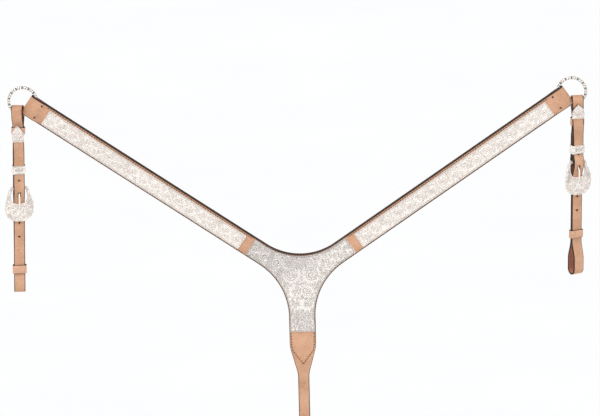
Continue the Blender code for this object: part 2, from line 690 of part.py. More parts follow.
def build_snap():
    outline = rounded_box((0, EYE_Z - EYE_DROP / 2), EYE_HALF, EYE_DROP / 2, 0.0035)
    corners = [(x, EYE_Y, z) for x, z in outline]
    eye = add_part("snap_eye", wire(corners, EYE_WIRE, True), "steel")
    low = EYE_Z - EYE_DROP
    post = rod((0, EYE_Y, low), (0, EYE_Y, BARREL_TOP - 0.0055), 0.0022)
    head = rod((0, EYE_Y, BARREL_TOP - 0.0047), (0, EYE_Y, BARREL_TOP - 0.0065), 0.0033)
    boolean(eye, [add_cutter("snap_post", post), add_cutter("snap_post_head", head)], "UNION")

    barrel = turned([(0.0025, BARREL_TOP), (0.0042, BARREL_TOP), (BARREL_RADIUS, BARREL_TOP - 0.003),
                     (BARREL_RADIUS, BARREL_BOTTOM), (BORE_RADIUS, BARREL_BOTTOM),
                     (BORE_RADIUS, BARREL_TOP - 0.004), (0.0025, BARREL_TOP - 0.004), (0.0025, BARREL_TOP)],
                    Matrix.Translation((0, EYE_Y, 0)), 32)
    body = add_part("snap_body", barrel, "steel")
    hook = spline_through([(0.0062, EYE_Y, BARREL_BOTTOM + 0.006), (0.0086, EYE_Y, BARREL_BOTTOM - 0.001),
                           (0.0148, EYE_Y, BARREL_BOTTOM - 0.008), (0.0168, EYE_Y, BARREL_BOTTOM - 0.0165),
                           (0.0100, EYE_Y, BARREL_BOTTOM - 0.0255), (0.0020, EYE_Y, BARREL_BOTTOM - 0.0225),
                           (0.0, EYE_Y, BARREL_BOTTOM - 0.0165), (0.0, EYE_Y, BARREL_BOTTOM - 0.0139)], 4)
    boolean(body, [add_cutter("snap_hook", wire(hook, HOOK_WIRE))], "UNION")
    slot = block((-0.0019, EYE_Y - 0.008, STUD_Z - 0.0021), (0.0019, EYE_Y, STUD_Z + BOLT_TRAVEL + 0.0024))
    boolean(body, [add_cutter("snap_slot", slot)])

    bolt = add_part("snap_bolt", rod((0, EYE_Y, BOLT_TIP), (0, EYE_Y, BOLT_TOP), BOLT_RADIUS), "steel")
    stud = rod((0, EYE_Y - 0.001, STUD_Z), (0, EYE_Y - 0.0080, STUD_Z), 0.0015, 16)
    knob = rod((0, EYE_Y - 0.0068, STUD_Z), (0, EYE_Y - 0.0092, STUD_Z), 0.0030, 20)
    boolean(bolt, [add_cutter("snap_stud", stud), add_cutter("snap_knob", knob)], "UNION")

    turns, per_turn = 4, 12
    high, bottom = BARREL_TOP - 0.0078, BOLT_TOP + 0.0008
    coil = []
    for index in range(turns * per_turn + 1):
        angle = 2 * math.pi * index / per_turn
        coil.append((0.0026 * math.cos(angle), EYE_Y + 0.0026 * math.sin(angle),
                     high + (bottom - high) * index / (turns * per_turn)))
    add_part("snap_spring", wire(coil, 0.0004, False, 2), "steel")


# ---- joints: one empty on the axis of each moving body -------------------------------------------
def hang(name, place, parent, pieces):
    """Empty on a joint axis; its pieces keep their places and take it as their parent."""
    empty = bpy.data.objects.new(name, None)
    empty.empty_display_size = 0.01
    PARTS.objects.link(empty)
    empty.location = (place[0], place[1] + MID_Y, place[2])
    if parent:
        empty.location -= Vector(parent["world"])
        empty.parent = parent["empty"]
    world = (place[0], place[1] + MID_Y, place[2])
    for piece in pieces:
        part = bpy.data.objects[piece]
        part.data.transform(Matrix.Translation((-world[0], MID_Y - world[1], -world[2])))
        part.parent = empty
    return {"empty": empty, "world": world}


def yaw_at(tug, height):
    return math.radians(follow(tug["yaw"], height))


def hang_everything():
    root = hang("yoke_axis", (0, -MID_Y, 0), None, ["yoke_face", "yoke_lining", "yoke_plate"])
    for name, tug in TUGS.items():
        side = tug["side"]
        cos, sin = math.cos(ARM_ANGLE), math.sin(ARM_ANGLE)
        arm = hang(f"{name}_arm_axis", (side * BRIDGE * cos, 0, BRIDGE * sin), root,
                   [f"{name}_arm_face", f"{name}_arm_lining", f"{name}_arm_plate",
                    f"{name}_arm_rivet_upper", f"{name}_arm_rivet_lower"])
        centre = (side * RING_X, 0, RING_Z)
        hang(f"{name}_ring_axis", centre, arm, [f"{name}_ring"])
        loop = hang(f"{name}_loop_axis", centre, arm, [f"{name}_tug_loop"])
        swing = hang(f"{name}_tug_axis", (plumb_line(tug, TUG_BEND), 0, RING_Z + TUG_BEND), loop,
                     [f"{name}_{piece}" for piece in (
                         "tug_chape", "tug_billet", "tug_tip", "buckle_frame",
                         "chape_screw_lower", "chape_screw_upper")])
        angle = yaw_at(tug, tug["bar"])
        place = (plumb_line(tug, tug["bar"]) - BAR_Y * math.sin(angle), BAR_Y * math.cos(angle),
                 RING_Z + tug["bar"])
        hang(f"{name}_tongue_axis", place, swing, [f"{name}_buckle_tongue"])
        for label in ("upper", "silver", "lower"):
            high, low = tug[f"{label}_keeper"]
            middle = (high + low) / 2
            hang(f"{name}_{label}_keeper_axis", (plumb_line(tug, middle), 0, RING_Z + middle), swing,
                 [f"{name}_tug_{label}_keeper"])
    strap = hang("centre_axis", (0, CENTRE_Y, CENTRE_BEND), root,
                 ["centre_strap", "centre_screw_upper", "centre_screw_lower"])
    eye = hang("snap_eye_axis", (0, EYE_Y, EYE_Z), strap, ["snap_eye"])
    body = hang("snap_swivel_axis", (0, EYE_Y, BARREL_TOP), eye, ["snap_body", "snap_spring"])
    hang("snap_bolt_axis", (0, EYE_Y, STUD_Z), body, ["snap_bolt"])


def main():
    build_yoke()
    for name, side in SIDES.items():
        build_arm(name, side)
        build_ring(name, side)
        build_tug(name, TUGS[name])
    build_centre_strap()
    build_snap()
    hang_everything()


clear_scene()
PARTS = new_collection("breast_collar")
CUTTERS = new_collection("cutters")
main()
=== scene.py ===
"""Looks of the silver-mounted show breast collar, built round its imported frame.

Metres, +X to the right, +Z up, the show side faces -Y. The leather, plates and straps repeat the part's own
dimensions, so each piece lies where its solid does. Depths in the helpers are measured from the middle of
the two plies, as in the part; MID moves them to the frame.
"""
import math
import random

import bmesh
import bpy
from mathutils import Matrix, Vector


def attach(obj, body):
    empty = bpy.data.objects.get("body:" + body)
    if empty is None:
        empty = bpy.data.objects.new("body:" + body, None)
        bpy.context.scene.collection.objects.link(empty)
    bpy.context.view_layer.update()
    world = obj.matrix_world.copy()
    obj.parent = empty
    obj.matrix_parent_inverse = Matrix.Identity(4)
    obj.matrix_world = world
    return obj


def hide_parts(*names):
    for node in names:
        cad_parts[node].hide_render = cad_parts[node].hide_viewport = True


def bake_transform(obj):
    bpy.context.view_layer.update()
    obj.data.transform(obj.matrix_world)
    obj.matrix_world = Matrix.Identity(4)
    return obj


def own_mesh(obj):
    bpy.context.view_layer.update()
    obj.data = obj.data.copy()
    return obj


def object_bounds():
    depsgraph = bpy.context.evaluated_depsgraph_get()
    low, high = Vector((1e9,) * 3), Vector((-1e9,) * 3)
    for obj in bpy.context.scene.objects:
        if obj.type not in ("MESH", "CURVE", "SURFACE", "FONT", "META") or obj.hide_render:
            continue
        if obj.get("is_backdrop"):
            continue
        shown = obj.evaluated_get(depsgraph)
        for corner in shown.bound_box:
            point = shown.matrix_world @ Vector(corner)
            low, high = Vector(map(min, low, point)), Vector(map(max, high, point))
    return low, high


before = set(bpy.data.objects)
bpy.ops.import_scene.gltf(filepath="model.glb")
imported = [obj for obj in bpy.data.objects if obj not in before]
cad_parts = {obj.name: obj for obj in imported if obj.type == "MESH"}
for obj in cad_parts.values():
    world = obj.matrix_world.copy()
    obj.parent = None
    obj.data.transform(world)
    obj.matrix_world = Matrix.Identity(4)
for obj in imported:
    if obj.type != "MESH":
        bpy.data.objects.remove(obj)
CAD_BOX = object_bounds()

# ---- collar dimensions, as in the part -----------------------------------------------------------
RING_X, RING_Z = 0.476, 0.328
ARM_ANGLE = math.atan2(RING_Z, RING_X)
REACH = math.hypot(RING_X, RING_Z)
ARM_WIDTH = 0.037
PLY = 0.0042
SEAM = 0.0001
MID = Vector((0, -(PLY + SEAM / 2), 0))    # from the middle of the plies to the frame
STEM_WIDTH = 0.046
TOP_FILLET, SIDE_FILLET = 0.103, 0.117
STEM_END, TAPER_START = -0.183, -0.122
BRIDGE, BEND_GAP, BRIDGE_LENGTH = 0.114, 0.0084, 0.016
PLATE, PLATE_BOTTOM = 0.0013, -0.095
ARM_PLATE_MARGIN, YOKE_PLATE_MARGIN = 0.0040, 0.0026
ARM_PLATE_DROP = 0.0014
ARM_PLATE_END = REACH - 0.048
YOKE_END, ARM_START = BRIDGE - BEND_GAP / 2, BRIDGE + BEND_GAP / 2
FACE = PLY + SEAM / 2                    # depth of the leather's outside
PLY_MIDDLE = (PLY + SEAM) / 2
PLATE_FRONT = FACE + SEAM + PLATE
RING_RADIUS, RING_WIRE = 0.02425, 0.00275
POCKET_HALF = RING_WIRE + 0.0003
FOLD_PLY = 0.0030
FOLD_INNER = REACH - 0.0106
POCKET_START, POCKET_FULL = REACH - 0.041, REACH - 0.0280
POCKET_MIDDLE = POCKET_HALF + FOLD_PLY / 2
TAIL_END = REACH - 0.0450
RIVET_FROM_RING, RIVET_SPREAD = 0.032, 0.012

TUG_WIDTH, TUG_PLY = 0.0195, 0.0028
LAYER = TUG_PLY + SEAM
TUG_OUTBOARD = 0.0092
TUG_LEAN, LEAN_START = 0.0244, -0.044
LOOP_HALF = 0.0080
LOOP_TOP = -0.0098
LOOP_CLOSING, LOOP_CLOSED = -0.0255, -0.045
TUG_BEND, TUG_BEND_GAP = -0.0413, 0.004
BAR_Y, BAR_RADIUS = -0.0010, 0.0020
WRAP = BAR_RADIUS + 0.0003 + TUG_PLY / 2
CHAPE_LENGTH = 0.026
KEEPER_ROOM = 0.00045
TIP_TAPER = ((0.42, 1.0), (0.56, 0.93), (0.72, 0.70), (0.89, 0.36))    # (share of its height, of its width)
HOLE_PITCH, HOLE_RADIUS = 0.0254, 0.0019
TONGUE_HOLE = -0.0100
TUGS = {
    "left": dict(side=-1, bar=-0.1565, bottom=-0.343, foot=0.0040, foot_start=-0.311, foot_full=-0.332,
                 tip=(-0.042, -0.071), tip_lean=0.0, upper_keeper=(-0.046, -0.058),
                 silver_keeper=(-0.1145, -0.1295), lower_keeper=(-0.294, -0.309),
                 yaw=((-0.040, -7), (-0.095, 9), (-0.225, 9), (-0.285, 3)),
                 billet=((-0.071, -0.0070), (-0.075, -0.0070), (-0.091, -0.0045))),
    "right": dict(side=1, bar=-0.1265, bottom=-0.328, foot=0.0080, foot_start=-0.266, foot_full=-0.300,
                  tip=(-0.0195, -0.0465), tip_lean=0.270, upper_keeper=(-0.046, -0.060),
                  silver_keeper=(-0.0955, -0.1105), lower_keeper=(-0.248, -0.262),
                  yaw=((-0.040, 8), (-0.095, 27), (-0.225, 27), (-0.240, 28), (-0.262, 28), (-0.300, 31)),
                  billet=((-0.0465, -0.0071), (-0.0595, -0.0070), (-0.0775, -0.0045))),
}
FLAT = SEAM + TUG_PLY / 2                # middle of a tug leg that lies against the other one
LEG_TOP = TUG_BEND - TUG_BEND_GAP / 2
CENTRE_WIDTH, CENTRE_PLY, CENTRE_FULL_PLY = 0.0195, 0.0030, 0.0034
CENTRE_Y, CENTRE_BEND = -0.0021, -0.187
EYE_Z, EYE_WIRE = -0.398, 0.00175
EYE_WRAP = EYE_WIRE + 0.0003 + CENTRE_PLY / 2
EYE_Y = CENTRE_Y + EYE_WRAP
TAIL_TOP = -0.345
SIDES = {"left": -1, "right": 1}

# ---- detail dimensions ---------------------------------------------------------------------------
EDGE_ROUND = 0.0008                      # rounding of a leather edge on its show side
INK, TOP_INK = 0.0012, 0.0024            # width of the edge dye on the face, and along the upper edges
LINING_INK = 0.0006
STITCH_PITCH, STITCH_LENGTH, THREAD = 0.0050, 0.0030, 0.00045
UPPER_SEAM = 0.0040                      # from the edge, above a plate
EDGE_SEAM, OPEN_SEAM = 0.0015, 0.0044    # from the edge, beside a plate and clear of it
V_TOP, V_POINT = -0.141, -0.153          # where the seams leave the taper's edges, and where they meet
AWL = 0.00115                            # radius of the dark disc between two stitches, painted shade of its awl hole
SINK = 0.00002                           # how deep an ornament sits in its plate
RISE = 0.00034                           # how far it stands up
CUT_SPREAD, CUT_RISE = 1.75, 0.00012     # width of the dark cut against its ornament's, and its height
BORDER = (0.0009, 0.0027)                # margins of a plate's two border lines
ROPE_PITCH = 0.0014

# places of the finishes in LEATHER_SET, and in a silver set
GRAIN, DYED, FLESH = 0, 1, 2
BRIGHT, STIPPLED, DARK = 0, 1, 2


# ---- small helpers, as in the part ---------------------------------------------------------------
def smooth(share):
    share = max(0.0, min(1.0, share))
    return share * share * (3 - 2 * share)


def follow(keys, height):
    """Ease from one (height, value) key to the next; the keys run downwards."""
    value = keys[0][1]
    for (start, first), (end, second) in zip(keys, keys[1:]):
        if height < start:
            value = first + (second - first) * smooth((start - height) / (start - end))
    return value


def steps(start, end, pitch):
    count = max(1, round(abs(end - start) / pitch))
    return [start + (end - start) * index / count for index in range(count + 1)]


def steady(value):
    """A function of the share as it is, or one that always gives the value."""
    return value if callable(value) else lambda share: value


def whole_turn(count):
    """Angles at even steps round a whole turn."""
    return [2 * math.pi * index / count for index in range(count)]


def arc(centre, radius, start, end, count):
    """Points on an arc, angles in degrees."""
    angles = [math.radians(start + (end - start) * index / count) for index in range(count + 1)]
    return [(centre[0] + radius * math.cos(a), centre[1] + radius * math.sin(a)) for a in angles]


def fillet(before, corner, after, radius, count=10):
    """The arc that rounds a corner, from the side of `before` to the side of `after`."""
    corner, before, after = Vector(corner), Vector(before), Vector(after)
    inward, outward = (before - corner).normalized(), (after - corner).normalized()
    half = inward.angle(outward) / 2
    centre = corner + (inward + outward).normalized() * radius / math.sin(half)
    first = corner + inward * radius / math.tan(half) - centre
    last = corner + outward * radius / math.tan(half) - centre
    start = math.degrees(math.atan2(first.y, first.x))
    return arc(centre, radius, start, start - math.degrees(first.angle_signed(last)), count)


def rounded_box(centre, half_x, half_y, radius, count=4):
    points = []
    for sign_x, sign_y, start in ((1, 1, 0), (-1, 1, 90), (-1, -1, 180), (1, -1, 270)):
        corner = (centre[0] + sign_x * (half_x - radius), centre[1] + sign_y * (half_y - radius))
        points += arc(corner, radius, start, start + 90, count)
    return points


def spline_through(points, count):
    """Points on a smooth curve through the given ones (Catmull-Rom)."""
    points = [Vector(point) for point in points]
    padded = [2 * points[0] - points[1]] + points + [2 * points[-1] - points[-2]]
    out = []
    for a, b, c, d in zip(padded, padded[1:], padded[2:], padded[3:]):
        for index in range(count):
            t = index / count
            out.append(0.5 * (2 * b + (c - a) * t + (2 * a - 5 * b + 4 * c - d) * t * t
                              + (3 * b - a - 3 * c + d) * t ** 3))
    return out + [points[-1]]


# ---- outlines ------------------------------------------------------------------------------------
def inset(loop, margin):
    """The closed outline moved in by margin, point by point; the outline runs anticlockwise."""
    moved = []
    for index, point in enumerate(loop):
        before, after = Vector(loop[index - 1]), Vector(loop[(index + 1) % len(loop)])
        here = Vector(point)
        first, second = (here - before).normalized(), (after - here).normalized()
        normal = Vector((-first.y - second.y, first.x + second.x)).normalized()
        stretch = max(0.5, normal.dot(Vector((-first.y, first.x))))
        moved.append(tuple(here + normal * margin / stretch))
    return moved


def resampled(line, pitch, closed=False):
    """(point, direction) at an even pitch along a line."""
    points = [Vector(point) for point in line]
    if closed:
        points.append(points[0])
    total = sum((b - a).length for a, b in zip(points, points[1:]))
    gap = total / max(1, round(total / pitch))
    places, wanted, walked = [], gap / 2, 0.0
    for a, b in zip(points, points[1:]):
        length = (b - a).length
        while length > 0 and wanted <= walked + length:
            places.append((a + (b - a) * (wanted - walked) / length, (b - a) / length))
            wanted += gap
        walked += length
    return places


def contains(loop, point):
    """Whether a point lies inside a closed outline."""
    x, z = point
    inside = False
    for (x1, z1), (x2, z2) in zip(loop, loop[1:] + loop[:1]):
        if (z1 > z) != (z2 > z) and x < x1 + (x2 - x1) * (z - z1) / (z2 - z1):
            inside = not inside
    return inside


def runs(points, closed=False):
    """The direction of a line at each of its points, from the point before to the point after."""
    if closed:
        around = [points[-1], *points, points[0]]
    else:
        around = [points[0], *points, points[-1]]
    return [(after - before).normalized() for before, after in zip(around, around[2:])]


# ---- pieces made of faces ------------------------------------------------------------------------
class Shape:
    """Closed skins gathered for one piece, each face with its place in the list of finishes.

    surface turns (u, v, rise) on an engraved piece into a place.
    """

    def __init__(self, finishes, surface=None):
        self.finishes, self.surface = finishes, surface
        self.points, self.faces, self.slots = [], [], []

    def skin(self, rings, finish=0, closed=False, around=True, rungs=False):
        """Faces between rings of equally many points. finish is a number, or a function of span and place.

        With rungs, an end is closed by level strips from one side of its ring to the other, so it can twist.
        """
        count, first = len(rings[0]), len(self.points)
        pick = finish if callable(finish) else lambda span, place: finish
        for ring in rings:
            self.points += [Vector(point) for point in ring]
        for span in range(len(rings) if closed else len(rings) - 1):
            here, there = first + span * count, first + (span + 1) % len(rings) * count
            for place in range(count if around else count - 1):
                after = (place + 1) % count
                self.faces.append((here + place, here + after, there + after, there + place))
                self.slots.append(pick(span, place))
        if not closed:
            last = first + (len(rings) - 1) * count
            for start, span, step in ((first, 0, -1), (last, len(rings) - 2, 1)):
                end = tuple(range(start, start + count))
                strips = [end]
                if rungs:
                    strips = [end[k:k + 2] + end[count - 2 - k:count - k] for k in range(count // 2)]
                self.faces += [tuple(dict.fromkeys(strip[::step])) for strip in strips]
                self.slots += [pick(span, 0)] * len(strips)

    def ridge(self, line, half, rise, closed, finish):
        """Ornament with a chiselled crest along (u, v) points."""
        points, half, rise, rings = [Vector(point) for point in line], steady(half), steady(rise), []
        for index, (point, run) in enumerate(zip(points, runs(points, closed))):
            share = index / (len(points) - 1)
            side = Vector((-run.y, run.x)) * half(share)
            rings.append((self.surface(*point + side, -SINK), self.surface(*point, rise(share)),
                          self.surface(*point - side, -SINK)))
        self.skin(rings, finish, closed)

    def tube(self, line, radius, sides=12, closed=False, finish=0):
        """Round bar along a line; radius is a number or a function of the share of the length."""
        points, size, rings, side = [Vector(point) for point in line], steady(radius), [], None
        for index, (point, run) in enumerate(zip(points, runs(points, closed))):
            side = run.orthogonal() if side is None else side - run * side.dot(run)
            side.normalize()
            up, wide = run.cross(side), size(index / (len(points) - 1))
            rings.append([point + (side * math.cos(a) + up * math.sin(a)) * wide for a in whole_turn(sides)])
        self.skin(rings, finish, closed)

    def lathe(self, profile, place, sides=24, finish=0):
        """Solid turned about its own Z axis from (radius, height) points, both ends near the axis."""
        self.skin([[place @ Vector((radius * math.cos(a), radius * math.sin(a), height))
                    for a in whole_turn(sides)] for radius, height in profile], finish)

    def moved(self, place):
        self.points = [place(point) for point in self.points]
        return self

    def stand_for(self, node, body, slot, angle=32):
        """Build the piece that a CAD node of the same name is shown as."""
        piece = self.build(node, angle)
        settle(piece, body, slot)
        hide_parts(node)

    def build(self, name, angle=32):
        mesh = bpy.data.meshes.new(name)
        mesh.from_pydata(self.points, [], self.faces)
        for finish in self.finishes:
            mesh.materials.append(finish)
        mesh.polygons.foreach_set("material_index", self.slots)
        work = bmesh.new()
        work.from_mesh(mesh)
        bmesh.ops.recalc_face_normals(work, faces=work.faces)
        work.to_mesh(mesh)
        work.free()
        mesh.shade_smooth()
        mesh.set_sharp_from_angle(angle=math.radians(angle))
        return add_object(name, mesh)


def add_object(name, data):
    piece = bpy.data.objects.new(name, data)
    bpy.context.scene.collection.objects.link(piece)
    return piece


def settle(piece, body, slot):
    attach(piece, body)


def bend(piece, bodies, start, end, slot, *nodes):
    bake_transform(piece)
    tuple(start)
    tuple(end)
    if nodes:
        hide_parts(*nodes)


# ---- finishes ------------------------------------------------------------------------------------
def node(tree, kind, inputs, **values):
    """A shader node; an input is a value or another node's output."""
    made = tree.nodes.new(kind)
    for key, value in values.items():
        setattr(made, key, value)
    for key, value in inputs.items():
        if isinstance(value, bpy.types.NodeSocket):
            tree.links.new(value, made.inputs[key])
        else:
            made.inputs[key].default_value = value
    return made


class Finish:
    """A procedural material, with its textures in the object's own coordinates."""

    def __init__(self, name, **uniform):
        self.material = bpy.data.materials.new(name)
        self.material.use_nodes = True
        self.tree = self.material.node_tree
        self.shader = self.tree.nodes["Principled BSDF"]
        self.place = node(self.tree, "ShaderNodeTexCoord", {}).outputs["Object"]
        for key, value in uniform.items():
            self.shader.inputs[key.replace("_", " ")].default_value = value

    def stretched(self, scale):
        return node(self.tree, "ShaderNodeMapping", {"Vector": self.place, "Scale": scale}).outputs["Vector"]

    def noise(self, scale, detail=4.0, rough=0.55, place=None):
        return node(self.tree, "ShaderNodeTexNoise", {"Vector": place or self.place, "Scale": scale,
                                                      "Detail": detail, "Roughness": rough}).outputs["Fac"]

    def cells(self, scale, feature="F1"):
        return node(self.tree, "ShaderNodeTexVoronoi", {"Vector": self.place, "Scale": scale},
                    feature=feature).outputs["Distance"]

    def between(self, source, low, high, first, last):
        """The source from low to high, spread over first to last."""
        return node(self.tree, "ShaderNodeMapRange", {"Value": source, "From Min": low, "From Max": high,
                                                      "To Min": first, "To Max": last}).outputs["Result"]

    def contours(self, source, count, width):
        """Fine flowing lines: the contours of a soft source, 1 on a line and 0 away from it."""
        wave = self.sum(self.sum(source, count, "MULTIPLY"), 0.5, "PINGPONG")
        return self.between(wave, 0.0, width, 1, 0)

    def sum(self, first, second, operation="ADD"):
        return node(self.tree, "ShaderNodeMath", {0: first, 1: second}, operation=operation).outputs[0]

    def blend(self, share, first, second, mode="MIX"):
        mix = node(self.tree, "ShaderNodeMix", {"Factor": share}, data_type="RGBA", blend_type=mode)
        for socket, value in ((mix.inputs[6], first), (mix.inputs[7], second)):
            if isinstance(value, bpy.types.NodeSocket):
                self.tree.links.new(value, socket)
            else:
                socket.default_value = (*value, 1.0)
        return mix.outputs[2]

    def joined(self, colour, roughness, height=None, distance=0.0, strength=1.0):
        """The material, with these sources for its colour, its roughness and the height of its grain."""
        self.tree.links.new(colour, self.shader.inputs["Base Color"])
        self.tree.links.new(roughness, self.shader.inputs["Roughness"])
        if height:
            made = node(self.tree, "ShaderNodeBump",
                        {"Height": height, "Distance": distance, "Strength": strength})
            self.tree.links.new(made.outputs["Normal"], self.shader.inputs["Normal"])
        return self.material


def grain_leather(name, pale, deep, shine):
    """Smooth russet harness leather: cloudy tan, fine pores, drawn wrinkles, a few darker handling marks."""
    finish = Finish(name, Specular_IOR_Level=0.42, Coat_Weight=0.10, Coat_Roughness=0.30)
    clouds = finish.between(finish.noise(22, 5, 0.6), 0.35, 0.68, 0, 1)
    colour = finish.blend(clouds, pale, deep)
    fibre = finish.between(finish.noise(650, 4, 0.7), 0.3, 0.7, 0.86, 1.06)
    mottle = finish.between(finish.noise(300, 3, 0.6), 0.32, 0.68, 0.84, 1.14)
    for tone in (fibre, mottle):
        colour = finish.blend(1.0, colour, finish.blend(tone, (0, 0, 0), (1, 1, 1)), "MULTIPLY")
    marks = finish.between(finish.noise(95, 3, 0.6), 0.58, 0.76, 0, 0.45)
    colour = finish.blend(marks, colour, tuple(0.72 * part for part in deep))
    rough = finish.between(finish.noise(130, 4), 0.3, 0.7, shine, shine + 0.14)
    pores = finish.between(finish.cells(1500), 0.0, 0.45, 0, 1)
    wrinkles = finish.noise(420, 5, 0.65, finish.stretched((1, 1, 0.45)))
    return finish.joined(colour, rough, finish.sum(pores, wrinkles), 0.00007, 0.8)


def flesh_leather(name, pale, deep):
    """The unfinished side of the hide: fibrous, matt and redder."""
    finish = Finish(name, Specular_IOR_Level=0.2, Sheen_Weight=0.25, Sheen_Roughness=0.6)
    patches = finish.between(finish.noise(60, 6, 0.7), 0.32, 0.68, 0, 1)
    nap = finish.noise(1300, 4, 0.75)
    shadow = finish.between(nap, 0.35, 0.7, 0, 0.45)
    colour = finish.blend(shadow, finish.blend(patches, pale, deep), tuple(0.55 * part for part in deep))
    rough = finish.between(nap, 0.3, 0.7, 0.82, 0.97)
    return finish.joined(colour, rough, finish.sum(nap, finish.noise(330, 3)), 0.00016, 0.9)


def dyed_edge(name, pale, deep):
    """Burnished edge with dark dye, worn thin here and there."""
    finish = Finish(name, Specular_IOR_Level=0.28)
    streaks = finish.noise(240, 5, 0.6, finish.stretched((1, 0.4, 1)))
    colour = finish.blend(finish.between(streaks, 0.4, 0.75, 0, 1), deep, pale)
    rough = finish.between(finish.noise(500, 3), 0.3, 0.7, 0.45, 0.65)
    return finish.joined(colour, rough, finish.noise(800, 4), 0.00006, 0.7)


def thread(name, pale, deep):
    """Waxed thread with the twist of its strands."""
    finish = Finish(name, Specular_IOR_Level=0.35)
    twist = finish.noise(2400, 2, 0.5, finish.stretched((1, 1, 0.5)))
    colour = finish.blend(finish.between(twist, 0.35, 0.65, 0, 1), pale, deep)
    return finish.joined(colour, finish.between(twist, 0.3, 0.7, 0.5, 0.7), twist, 0.00008)


def engraved_silver(name, bright, dull, rough, tarnish, stipple, strokes=0.0, shade=0.0):
    """Polished nickel silver: tarnish in soft patches, fine flowing tool strokes and a stippled ground.

    With a shade, it also takes painted shade in patches towards its upper left.
    """
    finish = Finish(name, Metallic=0.35)
    patches = finish.between(finish.noise(48, 5, 0.65), 0.38, 0.72, 0, tarnish)
    specks = finish.between(finish.noise(520, 3, 0.7), 0.50, 0.66, 0, tarnish)
    colour = finish.blend(specks, finish.blend(patches, bright, dull), tuple(0.75 * part for part in dull))
    lines = finish.contours(finish.noise(95, 1.5, 0.5), 9, 0.17)
    broken = finish.between(finish.noise(210, 2, 0.5), 0.44, 0.56, 0, 1)
    cuts = finish.sum(lines, broken, "MULTIPLY")
    if shade:
        # painted shade: a grey mixed in, in patches, towards the upper left of the piece
        split = node(finish.tree, "ShaderNodeSeparateXYZ", {"Vector": finish.place}).outputs
        lean = finish.sum(split["Z"], finish.sum(split["X"], -0.8, "MULTIPLY"))
        painted_shade_share = finish.between(lean, -0.01, 0.05, 0, shade)
        patchy = finish.between(finish.noise(85, 4, 0.6), 0.30, 0.62, 0, 1)
        colour = finish.blend(finish.sum(painted_shade_share, patchy, "MULTIPLY"), colour, (0.40, 0.385, 0.38))
    colour = finish.blend(finish.sum(cuts, strokes, "MULTIPLY"), colour, (0.17, 0.15, 0.145))
    rough = finish.between(finish.noise(210, 4), 0.3, 0.7, rough, rough + 0.12)
    dots = finish.between(finish.cells(2600), 0.05, 0.5, 0, 1)
    ground = finish.sum(dots, finish.noise(900, 3))
    height = finish.sum(ground, finish.sum(cuts, 0.5, "MULTIPLY"), "SUBTRACT")
    return finish.joined(colour, rough, height, stipple, 0.8)


def rolled_steel(name, bright, dull):
    """Plated steel hardware: hairline scratches and dull spots."""
    finish = Finish(name, Metallic=1.0)
    spots = finish.between(finish.noise(260, 5, 0.65), 0.5, 0.75, 0, 0.8)
    hair = finish.noise(700, 3, 0.6, finish.stretched((1, 1, 0.08)))
    rough = finish.between(hair, 0.3, 0.7, 0.18, 0.38)
    return finish.joined(finish.blend(spots, bright, dull), rough, hair, 0.00002, 0.6)


def pale_floor(name):
    finish = Finish(name, Specular_IOR_Level=0.1)
    colour = finish.blend(finish.noise(3, 2), (0.96, 0.96, 0.96), (0.93, 0.93, 0.93))
    return finish.joined(colour, finish.between(finish.noise(9, 2), 0.3, 0.7, 0.85, 0.95))


LEATHER = grain_leather("leather", (0.705, 0.400, 0.248), (0.530, 0.275, 0.155), 0.44)
KEEPER = grain_leather("keeper_leather", (0.76, 0.440, 0.290), (0.62, 0.340, 0.210), 0.40)
SUEDE = flesh_leather("flesh_side", (0.56, 0.215, 0.120), (0.38, 0.130, 0.070))
LINING = flesh_leather("lining", (0.56, 0.290, 0.170), (0.42, 0.195, 0.108))
DYE = dyed_edge("edge_dye", (0.070, 0.034, 0.022), (0.018, 0.009, 0.006))
THREAD_COLOUR = thread("thread", (0.50, 0.30, 0.18), (0.26, 0.14, 0.08))
# Dark brown for the discs between stitches and for the walls of cut holes: painted shade in the holes.
HOLE_SHADE = dyed_edge("painted_hole_shade", (0.13, 0.048, 0.026), (0.050, 0.018, 0.010))
SILVER = engraved_silver("silver", (1.00, 0.950, 0.890), (0.88, 0.815, 0.750), 0.17, 0.30, 0.00002)
GROUND = engraved_silver("silver_ground", (1.00, 0.940, 0.875), (0.80, 0.730, 0.665), 0.28, 0.40, 0.00005,
                         0.75)
# the yoke's ground, with painted shade towards its upper left
YOKE_GROUND = engraved_silver("yoke_ground", (1.00, 0.945, 0.890), (0.80, 0.740, 0.690), 0.32, 0.45, 0.00005,
                              0.80, 0.66)
# Dark cuts round the ornaments and the ring's dark bands: tarnish in the hollows and painted shade; PALE_CUT
# is a paler kind of the same.
TARNISH_AND_SHADE = engraved_silver("tarnish_and_painted_shade_cut", (0.23, 0.190, 0.170), (0.10, 0.080, 0.072), 0.42, 0.8, 0.00005)
PALE_CUT = engraved_silver("pale_cut", (0.60, 0.510, 0.455), (0.32, 0.260, 0.225), 0.40, 0.8, 0.00004)
PALE_SET, DARK_SET = (SILVER, GROUND, PALE_CUT), (SILVER, GROUND, TARNISH_AND_SHADE)
YOKE_SET = (SILVER, YOKE_GROUND, TARNISH_AND_SHADE)
ANTIQUE = rolled_steel("antique_rivet", (0.10, 0.070, 0.055), (0.045, 0.032, 0.026))
STEEL = rolled_steel("steel", (0.72, 0.71, 0.70), (0.42, 0.40, 0.39))
LEATHER_SET, LINING_SET, THREAD_SET = (LEATHER, DYE, SUEDE), (LINING, DYE, SUEDE), (THREAD_COLOUR, HOLE_SHADE)


def facing_out(middle, facing):
    """Place of a head that is turned about Z, once it stands on the front (-1) or the back (1)."""
    return Matrix.Translation(middle) @ Matrix.Rotation(-facing * math.pi / 2, 4, "X")


def screw_head(radius, proud):
    """Slightly domed head with a chamfered rim, seat first."""
    return [(0.00005, -0.0003), (radius, -0.0003), (radius, proud * 0.3), (radius * 0.86, proud * 0.75),
            (radius * 0.5, proud * 0.95), (0.00005, proud)]


